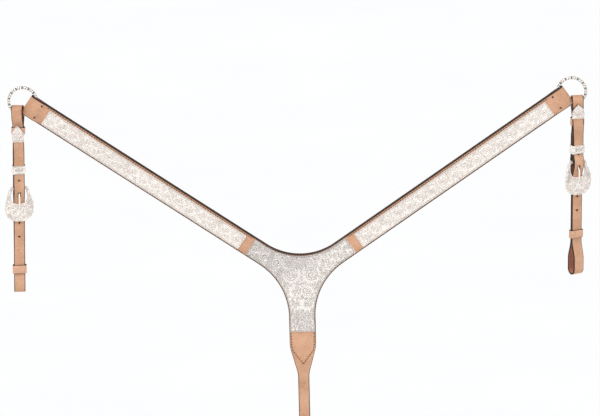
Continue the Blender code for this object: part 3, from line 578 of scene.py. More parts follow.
# ---- leather: sections and sweeps ----------------------------------------------------------------
def ply_profile(front, back, front_round, back_round):
    """(margin from the edge, depth) round the edge of a ply, from its back face to its front face."""
    flat, way = 0.0004, math.copysign(1, front - back)

    def rounding(face, radius, inward, angles):
        return [(radius - radius * math.sin(a), face + inward * (radius - radius * math.cos(a)))
                for a in (math.radians(degrees) for degrees in angles)]

    back_side = [(back_round + flat, back)] + rounding(back, back_round, way, (0, 30, 60, 90))
    front_side = rounding(front, front_round, -way, (90, 60, 30, 0))
    creased = [(INK + 0.00005, front), (TOP_INK, front), (TOP_INK + flat, front)]
    return back_side + front_side + creased


def strap_ring(half, thick, dye):
    """Section of a strap: (across, out) points, from the crease over the grain side's edge and round."""
    narrow = min(1.0, half / 0.004)
    turn = min(EDGE_ROUND, thick * 0.3) * narrow
    under, flat = min(0.0004, turn), 0.0004 * narrow
    dye, crease = dye * narrow, (dye + 0.0011) * narrow
    side = [(half - crease - flat, thick / 2), (half - crease, thick / 2 - 0.00014 * narrow),
            (half - crease + flat, thick / 2), (half - dye - flat * 0.1, thick / 2)]
    side += [(half - turn + turn * math.sin(a), thick / 2 - turn + turn * math.cos(a))
             for a in (math.radians(d) for d in (0, 30, 60, 90))]
    side += [(half - under + under * math.sin(a), -thick / 2 + under - under * math.cos(a))
             for a in (math.radians(d) for d in (90, 45, 0))]
    side.append((half - under - flat, -thick / 2))
    return side + [(-across, out) for across, out in reversed(side)]


def add_strap(shape, path, half, thick, grain=1, dye=INK, upper=0):
    """A strap along (u, v[, thickness[, half width]]) points; grain is 1 on the left, else -1."""
    rings = []
    for station, run in zip(path, runs([Vector(station[:2]) for station in path])):
        u, v, ply, wide = (*station, *(thick, half)[len(station) - 2:])
        rings.append([(u - run.y * out * grain, v + run.x * out * grain, across)
                      for across, out in strap_ring(wide, ply, dye)])
    shape.skin(rings, strap_finish(half, thick, dye, upper))


def strap_finish(half, thick, dye, upper=0):
    """Finish of each face round a strap's section: dyed near the edges, grain in front, flesh behind.

    The dye is wider on the face along the upper edge, which is on the side given by upper.
    """
    ring = strap_ring(half, thick, dye)
    picks = []
    for (across, out), (next_across, next_out) in zip(ring, ring[1:] + ring[:1]):
        middle, front = (across + next_across) / 2, out + next_out > 0
        if abs(middle) > half - dye or front and middle * upper > half - TOP_INK:
            picks.append(DYED)
        else:
            picks.append(GRAIN if front else FLESH)
    return lambda span, place: picks[place]


def stitch_row(shape, line, facing):
    """Stitches along (u, v) points on the leather's outside, in front where facing is -1.

    Each thread dips at both ends, and between the threads a dark disc is painted shade of the awl hole.
    """
    out, reach = Vector((0, facing, 0)), STITCH_LENGTH / 2
    stand = Vector((0, 0, 1)).rotation_difference(out).to_matrix().to_4x4()
    for point, run in resampled(line, STITCH_PITCH):
        middle, ahead = Vector((point.x, facing * FACE, point.y)), Vector((run.x, 0, run.y))
        dip = ((-1, -0.7), (-0.8, 0.05), (-0.3, 0.45), (0.3, 0.45), (0.8, 0.05), (1, -0.7))
        shape.tube([middle + ahead * reach * share + out * THREAD * lift for share, lift in dip],
                   lambda share: THREAD * (0.75 + 0.35 * math.sin(math.pi * share)), 6)
        # the awl hole: a dark disc of painted shade
        shape.lathe([(0.00005, -0.0001), (AWL, 0.00001), (AWL * 0.8, 0.00006), (0.00005, 0.00003)],
                    Matrix.Translation(middle + ahead * STITCH_PITCH / 2) @ stand, 8, 1)


# ---- yoke ----------------------------------------------------------------------------------------
UPPER_PLACES = 20                        # points of the outline from its middle to each upper corner


def yoke_outline(margin, reach, bottom, tapered):
    """Edge of the yoke in X and Z: two arm stubs and the stem, held in from the leather edge by margin."""
    cos, sin = math.cos(ARM_ANGLE), math.sin(ARM_ANGLE)
    half, stem = ARM_WIDTH / 2 - margin, STEM_WIDTH / 2 - margin * 0.7
    peak = (0, half / cos)
    armpit = (stem, (stem * sin - half) / cos)
    top_end = (reach * cos - half * sin, reach * sin + half * cos)
    low_end = (reach * cos + half * sin, reach * sin - half * cos)
    mirrored = (-top_end[0], top_end[1])
    outline = fillet(mirrored, peak, top_end, TOP_FILLET + margin, 2 * UPPER_PLACES - 4)
    outline += [top_end, low_end]
    outline += fillet(low_end, armpit, (stem, -1), SIDE_FILLET + margin, 30)
    if tapered:
        tail = (CENTRE_WIDTH / 2 - margin * 0.95, STEM_END + 0.005)
        shoulder = (stem, TAPER_START)
        outline += fillet((stem, 0), shoulder, tail, 0.060, 8)
        outline += fillet(shoulder, (tail[0], tail[1] + 0.006), (tail[0], bottom - 0.05), 0.045, 8)
        outline.append((tail[0], bottom))
    else:
        outline.append((stem, bottom))
    right = [point for point in outline if point[0] > 0.00001]
    middle = [point for point in outline if abs(point[0]) <= 0.00001]
    left = [(-x, z) for x, z in reversed(right)]
    return middle + right + left


def build_yoke():
    count = len(yoke_outline(0, YOKE_END, STEM_END, True))
    plies = (("yoke_face", LEATHER_SET, ply_profile(-FACE, -SEAM / 2, EDGE_ROUND, 0.0003), "leather"),
             ("yoke_lining", LINING_SET, ply_profile(FACE, SEAM / 2, 0.0006, 0.0003), "lining"))
    for name, finishes, profile, slot in plies:
        shape = Shape(finishes)
        rings = [[Vector((x, depth, z)) + MID for x, z in yoke_outline(margin, YOKE_END, STEM_END, True)]
                 for margin, depth in profile]
        margins = [(a[0] + b[0]) / 2 for a, b in zip(profile, profile[1:])]
        half_way = len(profile) // 2

        def pick(span, place):
            upper = place < UPPER_PLACES or place >= count - UPPER_PLACES
            if margins[span] < (TOP_INK if upper and span > half_way else INK):
                return DYED
            return GRAIN if span > half_way else FLESH

        shape.skin(rings, pick)
        shape.stand_for(name, "yoke", slot)
    stitch_yoke()
    plate_yoke()


def yoke_seams():
    """Right halves of the stitch lines: along the upper edge, and down the side to the V below the plate."""
    near, far = (yoke_outline(margin, YOKE_END, STEM_END, True) for margin in (EDGE_SEAM, OPEN_SEAM))
    points = []
    for (x, z), (far_x, far_z) in zip(near, far):
        share = smooth((PLATE_BOTTOM + 0.004 - z) / 0.012)
        points.append((x + (far_x - x) * share, z + (far_z - z) * share))
    right = points[:len(points) // 2 + 1]
    corner = max(range(len(right)), key=lambda index: right[index][1])
    side = [point for point in right[corner + 1:] if point[1] > V_TOP]
    return right[:corner + 1], side + [(0.0008, V_POINT)]


def stitch_yoke():
    for label, facing in (("front", -1), ("back", 1)):
        shape = Shape(THREAD_SET)
        for line in yoke_seams():
            for sign in (1, -1):
                stitch_row(shape, [(sign * x, z) for x, z in line], facing)
        piece = shape.moved(lambda point: point + MID).build(f"yoke_stitches_{label}")
        settle(piece, "yoke", "leather")


# ---- engraving -----------------------------------------------------------------------------------
def leaf_width(wide):
    """Half width of a leaf along its length: quickly full, then drawn to a point."""
    return lambda share: wide * max(0.06, math.sin(math.pi * (0.10 + 0.90 * share)) ** 0.75)


def leaf_rise(high):
    return lambda share: high * math.sin(math.pi * (0.08 + 0.86 * share))


def engrave(shape, line, half, rise=RISE, closed=False):
    """A bright ridge along (u, v) points, standing in a shallow cut coloured dark as tarnish and painted
    shade.
    """
    half = steady(half)
    shape.ridge(line, lambda share: half(share) * CUT_SPREAD + 0.00006, CUT_RISE, closed, DARK)
    shape.ridge(line, half, rise, closed, BRIGHT)


def leaf(shape, start, heading, length, wide, curl, high=RISE, parts=5):
    """A curved leaf from a point, turning by curl over its length."""
    line, point = [tuple(start)], Vector(start)
    for index in range(parts):
        angle = heading + curl * index / parts
        point = point + Vector((math.cos(angle), math.sin(angle))) * length / parts
        line.append(tuple(point))
    engrave(shape, line, leaf_width(wide), leaf_rise(high))


def scroll(shape, centre, radius, start, hand, turns=1.55):
    """A scroll that winds in to a bud, with leaves off its back and shading cuts inside its turns."""
    centre, line, count = Vector(centre), [], round(30 * turns)
    for index in range(count + 1):
        share = index / count
        distance = radius * (1 - 0.80 * share ** 0.85)
        angle = start + hand * 2 * math.pi * turns * share
        line.append((centre.x + distance * math.cos(angle), centre.y + distance * math.sin(angle)))
    thick, wide = max(0.00036, radius * 0.055), max(0.00042, radius * 0.075)
    engrave(shape, line, lambda share: thick * (1.15 - 0.55 * share))
    for index in range(1, round(count * 0.72), 2):
        here, after = Vector(line[index]), Vector(line[index + 1])
        heading = math.atan2(after.y - here.y, after.x - here.x)
        leaf(shape, here, heading - hand * 0.75, radius * 0.46, wide, hand * 1.5)
        inside = here + (centre - here).normalized() * thick * 1.2
        leaf(shape, inside, heading + hand * 0.9, radius * 0.26, radius * 0.034, hand * 0.8, RISE * 0.8, 3)
    for angle in whole_turn(6):
        leaf(shape, centre, start + angle, radius * 0.2, radius * 0.05, hand * 0.5, RISE, 3)


def scrollwork(shape, scrolls, turns=1.55):
    """Engrave the scrolls; give the flow that leaves each one, and a test for ground that none takes."""
    for centre, radius, start, hand in scrolls:
        scroll(shape, centre, radius, start, hand, turns)

    def nearest(point):
        return min(scrolls, key=lambda one: (Vector(point) - Vector(one[0])).length / one[1])

    def flow(point):
        centre, _, _, hand = nearest(point)
        away = Vector(point) - Vector(centre)
        return math.atan2(away.y, away.x) + hand * 0.9, hand * 1.1

    def clear(point):
        centre, radius, _, _ = nearest(point)
        return (Vector(point) - Vector(centre)).length > radius * 1.28

    return flow, clear


def fill_leaves(shape, area, allowed, flow, pitch, seed, length=1.5, wide=0.17):
    """Cover the ground between the scrolls with small leaves that follow the flow."""
    pick = random.Random(seed)
    low_u, low_v, high_u, high_v = area
    row_pitch = pitch * math.sqrt(0.75)
    for row in range(math.ceil((high_v - low_v) / row_pitch) + 1):
        for column in range(math.ceil((high_u - low_u) / pitch) + 1):
            u = low_u + (column + 0.5 * (row % 2)) * pitch + pick.uniform(-0.2, 0.2) * pitch
            v = low_v + row * row_pitch + pick.uniform(-0.2, 0.2) * pitch
            size, tilt = pick.uniform(0.8, 1.15), pick.uniform(-0.2, 0.2)
            if allowed((u, v)):
                heading, curl = flow((u, v))
                start = Vector((u, v)) - Vector((math.cos(heading), math.sin(heading))) * pitch * length / 2
                leaf(shape, start, heading + tilt - curl / 2, pitch * length * size, pitch * wide, curl)


def border(shape, loop_at):
    """Two fine lines round a plate, with slanting rope cuts between them."""
    for margin, wide in zip(BORDER, (0.00024, 0.00018)):
        engrave(shape, loop_at(margin), wide, RISE * 0.8, True)
    reach = (BORDER[1] - BORDER[0]) * 0.42
    for point, run in resampled(loop_at(sum(BORDER) / 2), ROPE_PITCH, True):
        slant = math.atan2(run.y, run.x) + math.radians(58)
        start = point - Vector((math.cos(slant), math.sin(slant))) * reach
        leaf(shape, start, slant - 0.35, reach * 2, ROPE_PITCH * 0.27, 0.7, RISE * 0.85, 3)


def plate_body(shape, loop_at, thickness, bevel=0.0003, rungs=False):
    """The sheet under the engraving, from its back to its rounded front edge."""
    steps_up = ((0.0002, -thickness), (0, -thickness + 0.0001), (0, -bevel), (bevel * 0.3, -bevel * 0.3),
                (bevel, 0), (bevel + 0.0002, 0))
    rings = [[shape.surface(u, v, height) for u, v in loop_at(margin)] for margin, height in steps_up]
    shape.skin(rings, STIPPLED, rungs=rungs)


def on_arm(along, across):
    """From the right arm's own line to the yoke's X and Z."""
    cos, sin = math.cos(ARM_ANGLE), math.sin(ARM_ANGLE)
    return along * cos - across * sin, along * sin + across * cos


def plate_yoke():
    """Four scrolls on each arm stub, two pairs down the stem, and long leaves at its foot."""
    def loop_at(margin):
        return yoke_outline(YOKE_PLATE_MARGIN + margin, BRIDGE - BRIDGE_LENGTH / 2 - margin,
                            PLATE_BOTTOM + margin, False)

    shape = Shape(YOKE_SET, lambda u, v, rise: Vector((u, -PLATE_FRONT - rise, v)) + MID)
    plate_body(shape, loop_at, PLATE)
    border(shape, loop_at)
    right = [((0.0170, 0.0085), 0.0125, 2.6, -1), (on_arm(0.0520, 0.0015), 0.0100, 3.6, 1),
             (on_arm(0.0765, -0.0015), 0.0088, 0.6, -1), (on_arm(0.0970, 0.0015), 0.0068, 3.4, 1),
             ((0.0100, -0.0215), 0.0090, 1.2, 1), ((0.0095, -0.0450), 0.0080, 1.9, -1)]
    left = [((-u, v), radius, math.pi - start, -hand) for (u, v), radius, start, hand in right]
    flow, clear = scrollwork(shape, right + left)
    ground, stem_top = loop_at(0.0034), -0.058

    def stem_flow(point):
        return (-math.pi / 2 + point[0] * 18, point[0] * 40) if point[1] < stem_top else flow(point)

    def allowed(point):
        return contains(ground, point) and (clear(point) or point[1] < stem_top)

    fill_leaves(shape, (-0.105, -0.095, 0.105, 0.085), allowed, stem_flow, 0.0039, 11)
    shape.stand_for("yoke_plate", "yoke", "silver_plate")


# ---- arms ----------------------------------------------------------------------------------------
def arm_place(side):
    """From (along the arm, depth, across the arm) to the frame."""
    lean = Matrix.Rotation(-ARM_ANGLE if side > 0 else ARM_ANGLE - math.pi, 3, "Y")
    return lambda point: lean @ Vector(point) + MID


def pocket(along):
    """Depth of the face leather's middle, and its thickness, where it opens round the ring."""
    share = smooth((along - POCKET_START) / (POCKET_FULL - POCKET_START))
    return PLY_MIDDLE + (POCKET_MIDDLE - PLY_MIDDLE) * share, PLY + (FOLD_PLY - PLY) * share


def arm_face_path():
    """Middle line of the face leather: flat under the plate, round the ring wire and back to the lining."""
    opening = [(along, *pocket(along)) for along in steps(POCKET_START, POCKET_FULL, 0.0010)]
    path = [(ARM_START, -PLY_MIDDLE)] + [(along, -depth, ply) for along, depth, ply in opening]
    centre = (FOLD_INNER - POCKET_HALF, 0)
    path += [(x, y, FOLD_PLY) for x, y in arc(centre, POCKET_MIDDLE, -90, 90, 24)]
    return path + opening[::-1] + [(TAIL_END, PLY_MIDDLE)]


def build_arm(name, side):
    place = arm_place(side)
    face, lining = Shape(LEATHER_SET), Shape(LINING_SET)
    add_strap(face, arm_face_path(), ARM_WIDTH / 2, PLY, -1, INK, side)
    lining_path = [(ARM_START, PLY_MIDDLE), (TAIL_END - SEAM * 3, PLY_MIDDLE)]
    add_strap(lining, lining_path, ARM_WIDTH / 2, PLY, 1, LINING_INK)
    face.moved(place).stand_for(f"{name}_arm_face", f"{name}_arm", "leather")
    lining.moved(place).stand_for(f"{name}_arm_lining", f"{name}_arm", "lining")
    build_bridge(name, side, place)
    stitch_arm(name, side, place)
    plate_arm(name, side, place)
    rivet_arm(name, side, place)


def build_bridge(name, side, place):
    """The bare leather between the yoke and an arm, with its two stitch lines."""
    face, lining, seam = Shape(LEATHER_SET), Shape(LINING_SET), Shape(THREAD_SET)
    stations = steps(YOKE_END, ARM_START, BEND_GAP / 10)
    add_strap(face, [(along, -PLY_MIDDLE) for along in stations], ARM_WIDTH / 2, PLY, -1, INK, side)
    add_strap(lining, [(along, PLY_MIDDLE) for along in stations], ARM_WIDTH / 2, PLY, 1, LINING_INK)
    for facing in (-1, 1):
        for across in arm_seams(side):
            stitch_row(seam, [(YOKE_END, across), (ARM_START, across)], facing)
    ends = place((YOKE_END, 0, 0)), place((ARM_START, 0, 0))
    for label, shape in (("bridge_face", face), ("bridge_lining", lining), ("bridge_stitches", seam)):
        piece = shape.moved(place).build(f"{name}_{label}")
        bend(piece, ("yoke", f"{name}_arm"), *ends, "leather")


def arm_seams(side):
    """Places of an arm's two seams across it, upper edge first."""
    half = ARM_WIDTH / 2
    return side * (half - UPPER_SEAM), side * (EDGE_SEAM - half)


def stitch_arm(name, side, place):
    for label, facing in (("front", -1), ("back", 1)):
        shape = Shape(THREAD_SET)
        for across in arm_seams(side):
            stitch_row(shape, [(ARM_START, across), (POCKET_START + 0.002, across)], facing)
        settle(shape.moved(place).build(f"{name}_arm_stitches_{label}"), f"{name}_arm", "leather")


def plate_arm(name, side, place):
    """A wave of stem down the plate, with a scroll in each of its bends."""
    low, high = BRIDGE + BRIDGE_LENGTH / 2, ARM_PLATE_END
    half = ARM_WIDTH / 2 - ARM_PLATE_MARGIN

    def surface(u, v, rise):
        return place((u, -PLATE_FRONT - rise, (v - ARM_PLATE_DROP) * side))

    def loop_at(margin):
        return rounded_box(((low + high) / 2, 0), (high - low) / 2 - margin, half - margin,
                           max(0.0004, 0.0015 - margin * 0.4), 5)

    shape = Shape(PALE_SET, surface)
    plate_body(shape, loop_at, PLATE)
    border(shape, loop_at)
    count, sway, radius = 17, 0.0026, 0.0080
    pitch = (high - low) / count
    stem = [(u, (radius - sway) * math.cos(math.pi * (u - low - pitch / 2) / pitch))
            for u in steps(low + 0.004, high - 0.004, 0.0015)]
    engrave(shape, stem, 0.00042)
    scrolls, rim = [], 0.0036
    for index in range(count):
        hand = 1 if index % 2 else -1
        scrolls.append(((low + pitch * (index + 0.5), hand * sway), radius, -hand * math.pi / 2, hand))
    flow, clear = scrollwork(shape, scrolls)

    def allowed(point):
        return low + rim < point[0] < high - rim and abs(point[1]) < half - rim and clear(point)

    fill_leaves(shape, (low, -half, high, half), allowed, flow, 0.0033, 5)
    shape.stand_for(f"{name}_arm_plate", f"{name}_arm", "silver_plate")


def rivet_arm(name, side, place):
    head = [(0.00005, -0.0002), (0.0016, -0.0002), (0.0018, 0.0002), (0.0015, 0.0005), (0.0008, 0.0007),
            (0.00005, 0.00075)]
    along = REACH - RIVET_FROM_RING
    middle, ply = pocket(along)
    for label, across in (("upper", RIVET_SPREAD), ("lower", -RIVET_SPREAD)):
        shape = Shape([ANTIQUE])
        for facing in (-1, 1):
            shape.lathe(head, facing_out((along, facing * (middle + ply / 2), across * side), facing), 20)
        shape.moved(place).stand_for(f"{name}_arm_rivet_{label}", f"{name}_arm", "screws")


# ---- rings ---------------------------------------------------------------------------------------
def build_ring(name, side):
    """Silver ring cut into segments, with a dark band and a pair of slanting cuts in each."""
    segments, per_segment, sides = 14, 16, 20
    count = segments * per_segment
    centre = Vector((side * RING_X, 0, RING_Z)) + MID

    def ring_finish(span, place):
        share = (span + 0.5) / per_segment % 1.0
        slant = math.sin(6 * math.pi * share + 4 * math.pi * place / sides)
        banded = abs(share - 0.5) < 0.15 or abs(share - 0.5) > 0.2 and slant > 0.45
        return DARK if banded else BRIGHT

    rings = []
    for index in range(count):
        share, angle = index / per_segment % 1.0, 2 * math.pi * index / count
        notch = sum(deep * math.exp(-((share - at) / wide) ** 2)
                    for deep, at, wide in ((0.13, 0.5, 0.045), (0.07, 0.36, 0.03), (0.07, 0.64, 0.03)))
        swell = 0.03 * math.cos(2 * math.pi * share)
        ring = []
        for around in whole_turn(sides):
            slant = 0.06 * (math.sin(6 * math.pi * share + 2 * around) > 0.45) * (abs(share - 0.5) > 0.2)
            radius = RING_WIRE * (0.97 - notch - slant + swell)
            reach = RING_RADIUS + radius * math.cos(around)
            ring.append(centre + Vector((reach * math.cos(angle), radius * math.sin(around),
                                         reach * math.sin(angle))))
        rings.append(ring)
    shape = Shape(DARK_SET)
    shape.skin(rings, ring_finish, True)
    shape.stand_for(f"{name}_ring", f"{name}_ring", "silver_ring")


# ---- tugs: paths, as in the part -----------------------------------------------------------------
def half_gap(height):
    """Half of the space between the front and back legs under the ring."""
    closing = smooth((LOOP_CLOSING - height) / (LOOP_CLOSING - LOOP_CLOSED))
    return LOOP_HALF + (SEAM - LOOP_HALF) * closing


def back_depth(tug, height):
    """Middle of the back leg, which also makes room for the chape and opens at the foot."""
    apart, aside, bar = -0.064, FLAT + LAYER, tug["bar"]
    if height > apart:
        return half_gap(height) + TUG_PLY / 2
    keys = ((apart, FLAT), (-0.080, aside), (bar + 0.014, aside), (bar + 0.004, aside + 0.0014),
            (bar - 0.008, aside + 0.0014), (bar - 0.030, FLAT), (tug["foot_start"], FLAT),
            (tug["foot_full"], tug["foot"] + TUG_PLY / 2))
    return follow(keys, height)


def billet_depth(tug, height):
    """Middle of the billet: over the keeper, over the bar, under the buckle plate and down to the foot."""
    bar = tug["bar"]
    keys = (*tug["billet"], (bar + 0.013, tug["billet"][-1][1]), (bar + 0.003, -0.0078),
            (bar - 0.003, -0.0078), (bar - 0.024, -FLAT), (tug["foot_start"], -FLAT),
            (tug["foot_full"], -tug["foot"] - TUG_PLY / 2))
    above_tip_base = max(0.0, height - tug["tip"][1])
    return follow(keys, height) - above_tip_base * math.tan(tug["tip_lean"])


def turned_end(bar, wrap, inner, easing, length, pitch):
    """Up behind a bar from the depth wrap at its height, easing over to inner; (depth, height) points."""
    points = []
    for z in steps(bar + 0.001, bar + length, pitch):
        spread = smooth((bar + 0.001 + easing - z) / easing)
        points.append((inner + (wrap - inner) * spread, z))
    return points


def chape_path(tug):
    """The front leg from its bend down to the buckle bar, round it and up behind."""
    bar, path = tug["bar"], []
    for z in steps(LEG_TOP, bar + 0.001, 0.0025):
        spread = smooth((bar + 0.010 - z) / 0.009)
        path.append((-(half_gap(z) + TUG_PLY / 2) + (BAR_Y - WRAP + FLAT) * spread, z))
    path += arc((BAR_Y, bar), WRAP, 180, 360, 20)
    path += turned_end(bar, BAR_Y + WRAP, LAYER - FLAT, 0.009, CHAPE_LENGTH, 0.0025)
    return path


def loop_path():
    """The top of the tug over the ring, from its front bend to its back bend."""
    middle = LOOP_HALF + TUG_PLY / 2
    heights = steps(LEG_TOP + 0.0005, LOOP_CLOSING + 0.001, 0.0010)
    leg = [(half_gap(z) + TUG_PLY / 2, z) for z in heights]
    over = arc((0, LOOP_TOP - LOOP_HALF), middle, 180, 0, 24)
    return [(-y, z) for y, z in leg] + over + leg[::-1]


def foot_path(tug, split):
    """Down the back, round the foot, and up the front to the split under the lower keeper."""
    centre = (0, tug["bottom"] + TUG_PLY + tug["foot"])
    path = [(back_depth(tug, z), z) for z in steps(LEG_TOP - 0.0005, centre[1] + 0.001, 0.003)]
    path += arc(centre, tug["foot"] + TUG_PLY / 2, 0, -180, 20)
    return path + [(billet_depth(tug, z), z) for z in steps(centre[1] + 0.001, split, 0.003)]


def tip_half(tug, height):
    """Half width of the billet at a height, drawn in under the pointed tip."""
    top, base = tug["tip"]
    share, width = (height - base) / (top - base), 1.0
    keys = (*TIP_TAPER, (1.0, 0.06))
    for (low, first), (high, second) in zip(keys, keys[1:]):
        if share > low:
            width = first + (second - first) * min(1.0, (share - low) / (high - low))
    return min(TUG_WIDTH / 2, (TUG_WIDTH / 2 + 0.0008) * width * 0.94)


def billet_path(tug, split):
    """Up the front from the split, through the buckle and on to the tip."""
    top, base = tug["tip"]
    path = [(billet_depth(tug, z), z) for z in steps(split, base, 0.0025)]
    end = base + (top - base) * 0.965
    point = [(billet_depth(tug, z), z, TUG_PLY, tip_half(tug, z)) for z in steps(base + 0.001, end, 0.001)]
    return path + point


def tug_place(tug):
    """From (x, depth, height) on a tug to the frame: each height turns about the tug's own upright line."""
    def place(point):
        x, y, z = point
        angle = math.radians(follow(tug["yaw"], z))
        plumb = tug["side"] * (RING_X + TUG_OUTBOARD) + TUG_LEAN * min(0.0, z - LEAN_START)
        return Vector((plumb + x * math.cos(angle) - y * math.sin(angle),
                       x * math.sin(angle) + y * math.cos(angle), z + RING_Z)) + MID
    return place


def standing(point):
    """From a strap's (depth, height, across) to (x, depth, height)."""
    return Vector((point[2], point[0], point[1]))


# ---- tugs: pieces --------------------------------------------------------------------------------
def cut(piece, cutters):
    """Boolean cuts, baked in; the cut faces take the cutters' material."""
    for cutter in cutters:
        step = piece.modifiers.new("cut", "BOOLEAN")
        step.solver = "EXACT"
        step.material_mode = "TRANSFER"
        step.object = cutter
    bpy.context.view_layer.update()
    mesh = bpy.data.meshes.new_from_object(piece.evaluated_get(bpy.context.evaluated_depsgraph_get()))
    piece.modifiers.clear()
    piece.data = mesh
    for cutter in cutters:
        bpy.data.objects.remove(cutter, do_unlink=True)


def twist(piece, place):
    for vertex in piece.data.vertices:
        vertex.co = place(vertex.co)


# Cutters carry the painted shade of a hole onto the walls they cut.
def cutter_block(low, high):
    shape = Shape([HOLE_SHADE])
    corners = rounded_box(((low[0] + high[0]) / 2, (low[2] + high[2]) / 2), (high[0] - low[0]) / 2,
                          (high[2] - low[2]) / 2, 0.0012)
    shape.skin([[(x, y, z) for x, z in corners] for y in (low[1], high[1])])
    return shape.build("cutter")


def cutter_rod(middle, reach):
    shape = Shape([HOLE_SHADE])
    place = Matrix.Translation(middle) @ Matrix.Rotation(math.pi / 2, 4, "X")
    shape.lathe([(HOLE_RADIUS, -reach), (HOLE_RADIUS, reach)], place, 24)
    return shape.build("cutter")


def build_strap(name, tug, place):
    """The tug's long strap as far as the split under the lower keeper, slotted for the tongue."""
    shape, bar = Shape(LEATHER_SET), tug["bar"]
    path = chape_path(tug)[::-1] + loop_path() + foot_path(tug, sum(tug["lower_keeper"]) / 2)
    add_strap(shape, path, TUG_WIDTH / 2, TUG_PLY)
    strap = shape.moved(standing).build(f"{name}_tug_strap")
    reach = WRAP + TUG_PLY
    cut(strap, [cutter_block((-0.0030, BAR_Y - reach, bar - 0.009), (0.0030, BAR_Y + reach, bar + 0.007))])
    twist(strap, place)
    middle = Vector((tug["side"] * (RING_X + TUG_OUTBOARD), MID.y, RING_Z + TUG_BEND))
    half_way = Vector((0, 0, TUG_BEND_GAP / 2))
    bend(strap, (f"{name}_tug_top", f"{name}_tug"), middle + half_way, middle - half_way, "leather",
         f"{name}_tug_loop", f"{name}_tug_chape")


def build_billet(name, tug, place):
    """The rest of the strap, with a long hole for the tongue and round ones at the hole pitch."""
    shape = Shape(LEATHER_SET)
    add_strap(shape, billet_path(tug, sum(tug["lower_keeper"]) / 2), TUG_WIDTH / 2, TUG_PLY)
    billet = shape.moved(standing).build(f"{name}_tug_billet")
    cutters = []
    for index in range(-1, 4):
        z = tug["bar"] + TONGUE_HOLE - index * HOLE_PITCH
        middle = billet_depth(tug, z)
        if index == 0:
            cutters.append(cutter_block((-0.0023, middle - 0.004, z - 0.0042),
                                        (0.0023, middle + 0.0042, z + 0.0057)))
        else:
            cutters.append(cutter_rod((0, middle - 0.001, z), TUG_PLY / 2 + 0.0010))
    cut(billet, cutters)
    twist(billet, place)
    settle(billet, f"{name}_tug", "leather")
    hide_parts(f"{name}_tug_billet")


def tip_outline(height):
    """Pointed tip, base at zero, anticlockwise from the lower right corner."""
    half = TUG_WIDTH / 2 + 0.0008
    sides = [(half * wide, height * share) for share, wide in (*TIP_TAPER, (1.0, 0))]
    curve = [(half, z) for z in steps(0, height * 0.38, 0.002)]
    curve += [tuple(point) for point in spline_through(sides, 4)]
    return curve + [(-x, z) for x, z in reversed(curve[:-1])]


def build_tip(name, tug, place):
    """Silver tip: a bordered spear with a pair of scrolls and a spray of leaves."""
    top, base = tug["tip"]
    height, front = top - base, -PLATE - 2 * SEAM
    stand = Matrix.Translation((0, billet_depth(tug, base) - TUG_PLY / 2, base))
    stand @= Matrix.Rotation(tug["tip_lean"], 4, "X")
    outline = tip_outline(height)
    shape = Shape(PALE_SET, lambda u, v, rise: place(stand @ Vector((u, front - rise, v))))
    plate_body(shape, lambda margin: inset(outline, margin), PLATE, rungs=True)
    engrave(shape, inset(outline, 0.0012), 0.00035, RISE, True)
    flow, clear = scrollwork(shape, [((0.0046, height * 0.30), 0.0034, 0.4, 1),
                                     ((-0.0046, height * 0.30), 0.0034, math.pi - 0.4, -1)], 1.3)
    for turn in (-0.55, -0.25, 0, 0.25, 0.55):
        leaf(shape, (turn * 0.004, height * (0.50 - abs(turn) * 0.1)), math.pi / 2 - turn,
             height * (0.34 - abs(turn) * 0.25), 0.0008, turn * 1.2)
    for turn in (-1, 1):
        leaf(shape, (0, height * 0.06), math.pi / 2 - turn * 0.35, height * 0.3, 0.0007, turn * 0.6)
    ground = inset(outline, 0.0018)
    fill_leaves(shape, (-0.009, 0, 0.009, height),
                lambda point: contains(ground, point) and clear(point) and point[1] < height * 0.55,
                flow, 0.0016, 3, 1.3, 0.2)
    shape.stand_for(f"{name}_tug_tip", f"{name}_tug", "silver_trim")


def keeper_skin(shape, low, high, front, back, wall, turn, finish):
    """Band round the straps, its four edges rounded by turn."""
    middle = (0, (front + back) / 2)
    half_x, half_y = TUG_WIDTH / 2 + 0.0006, (back - front) / 2
    rings = []
    for grow, z in ((wall, low + turn), (wall, high - turn), (wall - turn * 0.3, high - turn * 0.3),
                    (wall - turn, high), (turn * 0.4, high), (0, high - turn * 0.4), (0, low + turn * 0.4),
                    (turn * 0.4, low), (wall - turn, low), (wall - turn * 0.3, low + turn * 0.3)):
        loop = rounded_box(middle, half_x + grow, half_y + grow, 0.0008 + grow, 5)
        rings.append([Vector((x, y, z)) for x, y in loop])
    shape.skin(rings, finish, True)


def build_keepers(name, tug, place):
    front = SEAM + TUG_PLY + KEEPER_ROOM
    for label, wall in (("upper", 0.0016), ("lower", 0.0018)):
        high, low = tug[f"{label}_keeper"]
        shape = Shape((KEEPER, DYE, SUEDE))
        keeper_skin(shape, low, high, -front, front, wall, 0.0005,
                    lambda span, place: GRAIN if span == 0 else FLESH if span == 5 else DYED)
        shape.moved(place)
        shape.stand_for(f"{name}_tug_{label}_keeper", f"{name}_{label}_keeper", "keeper_leather")


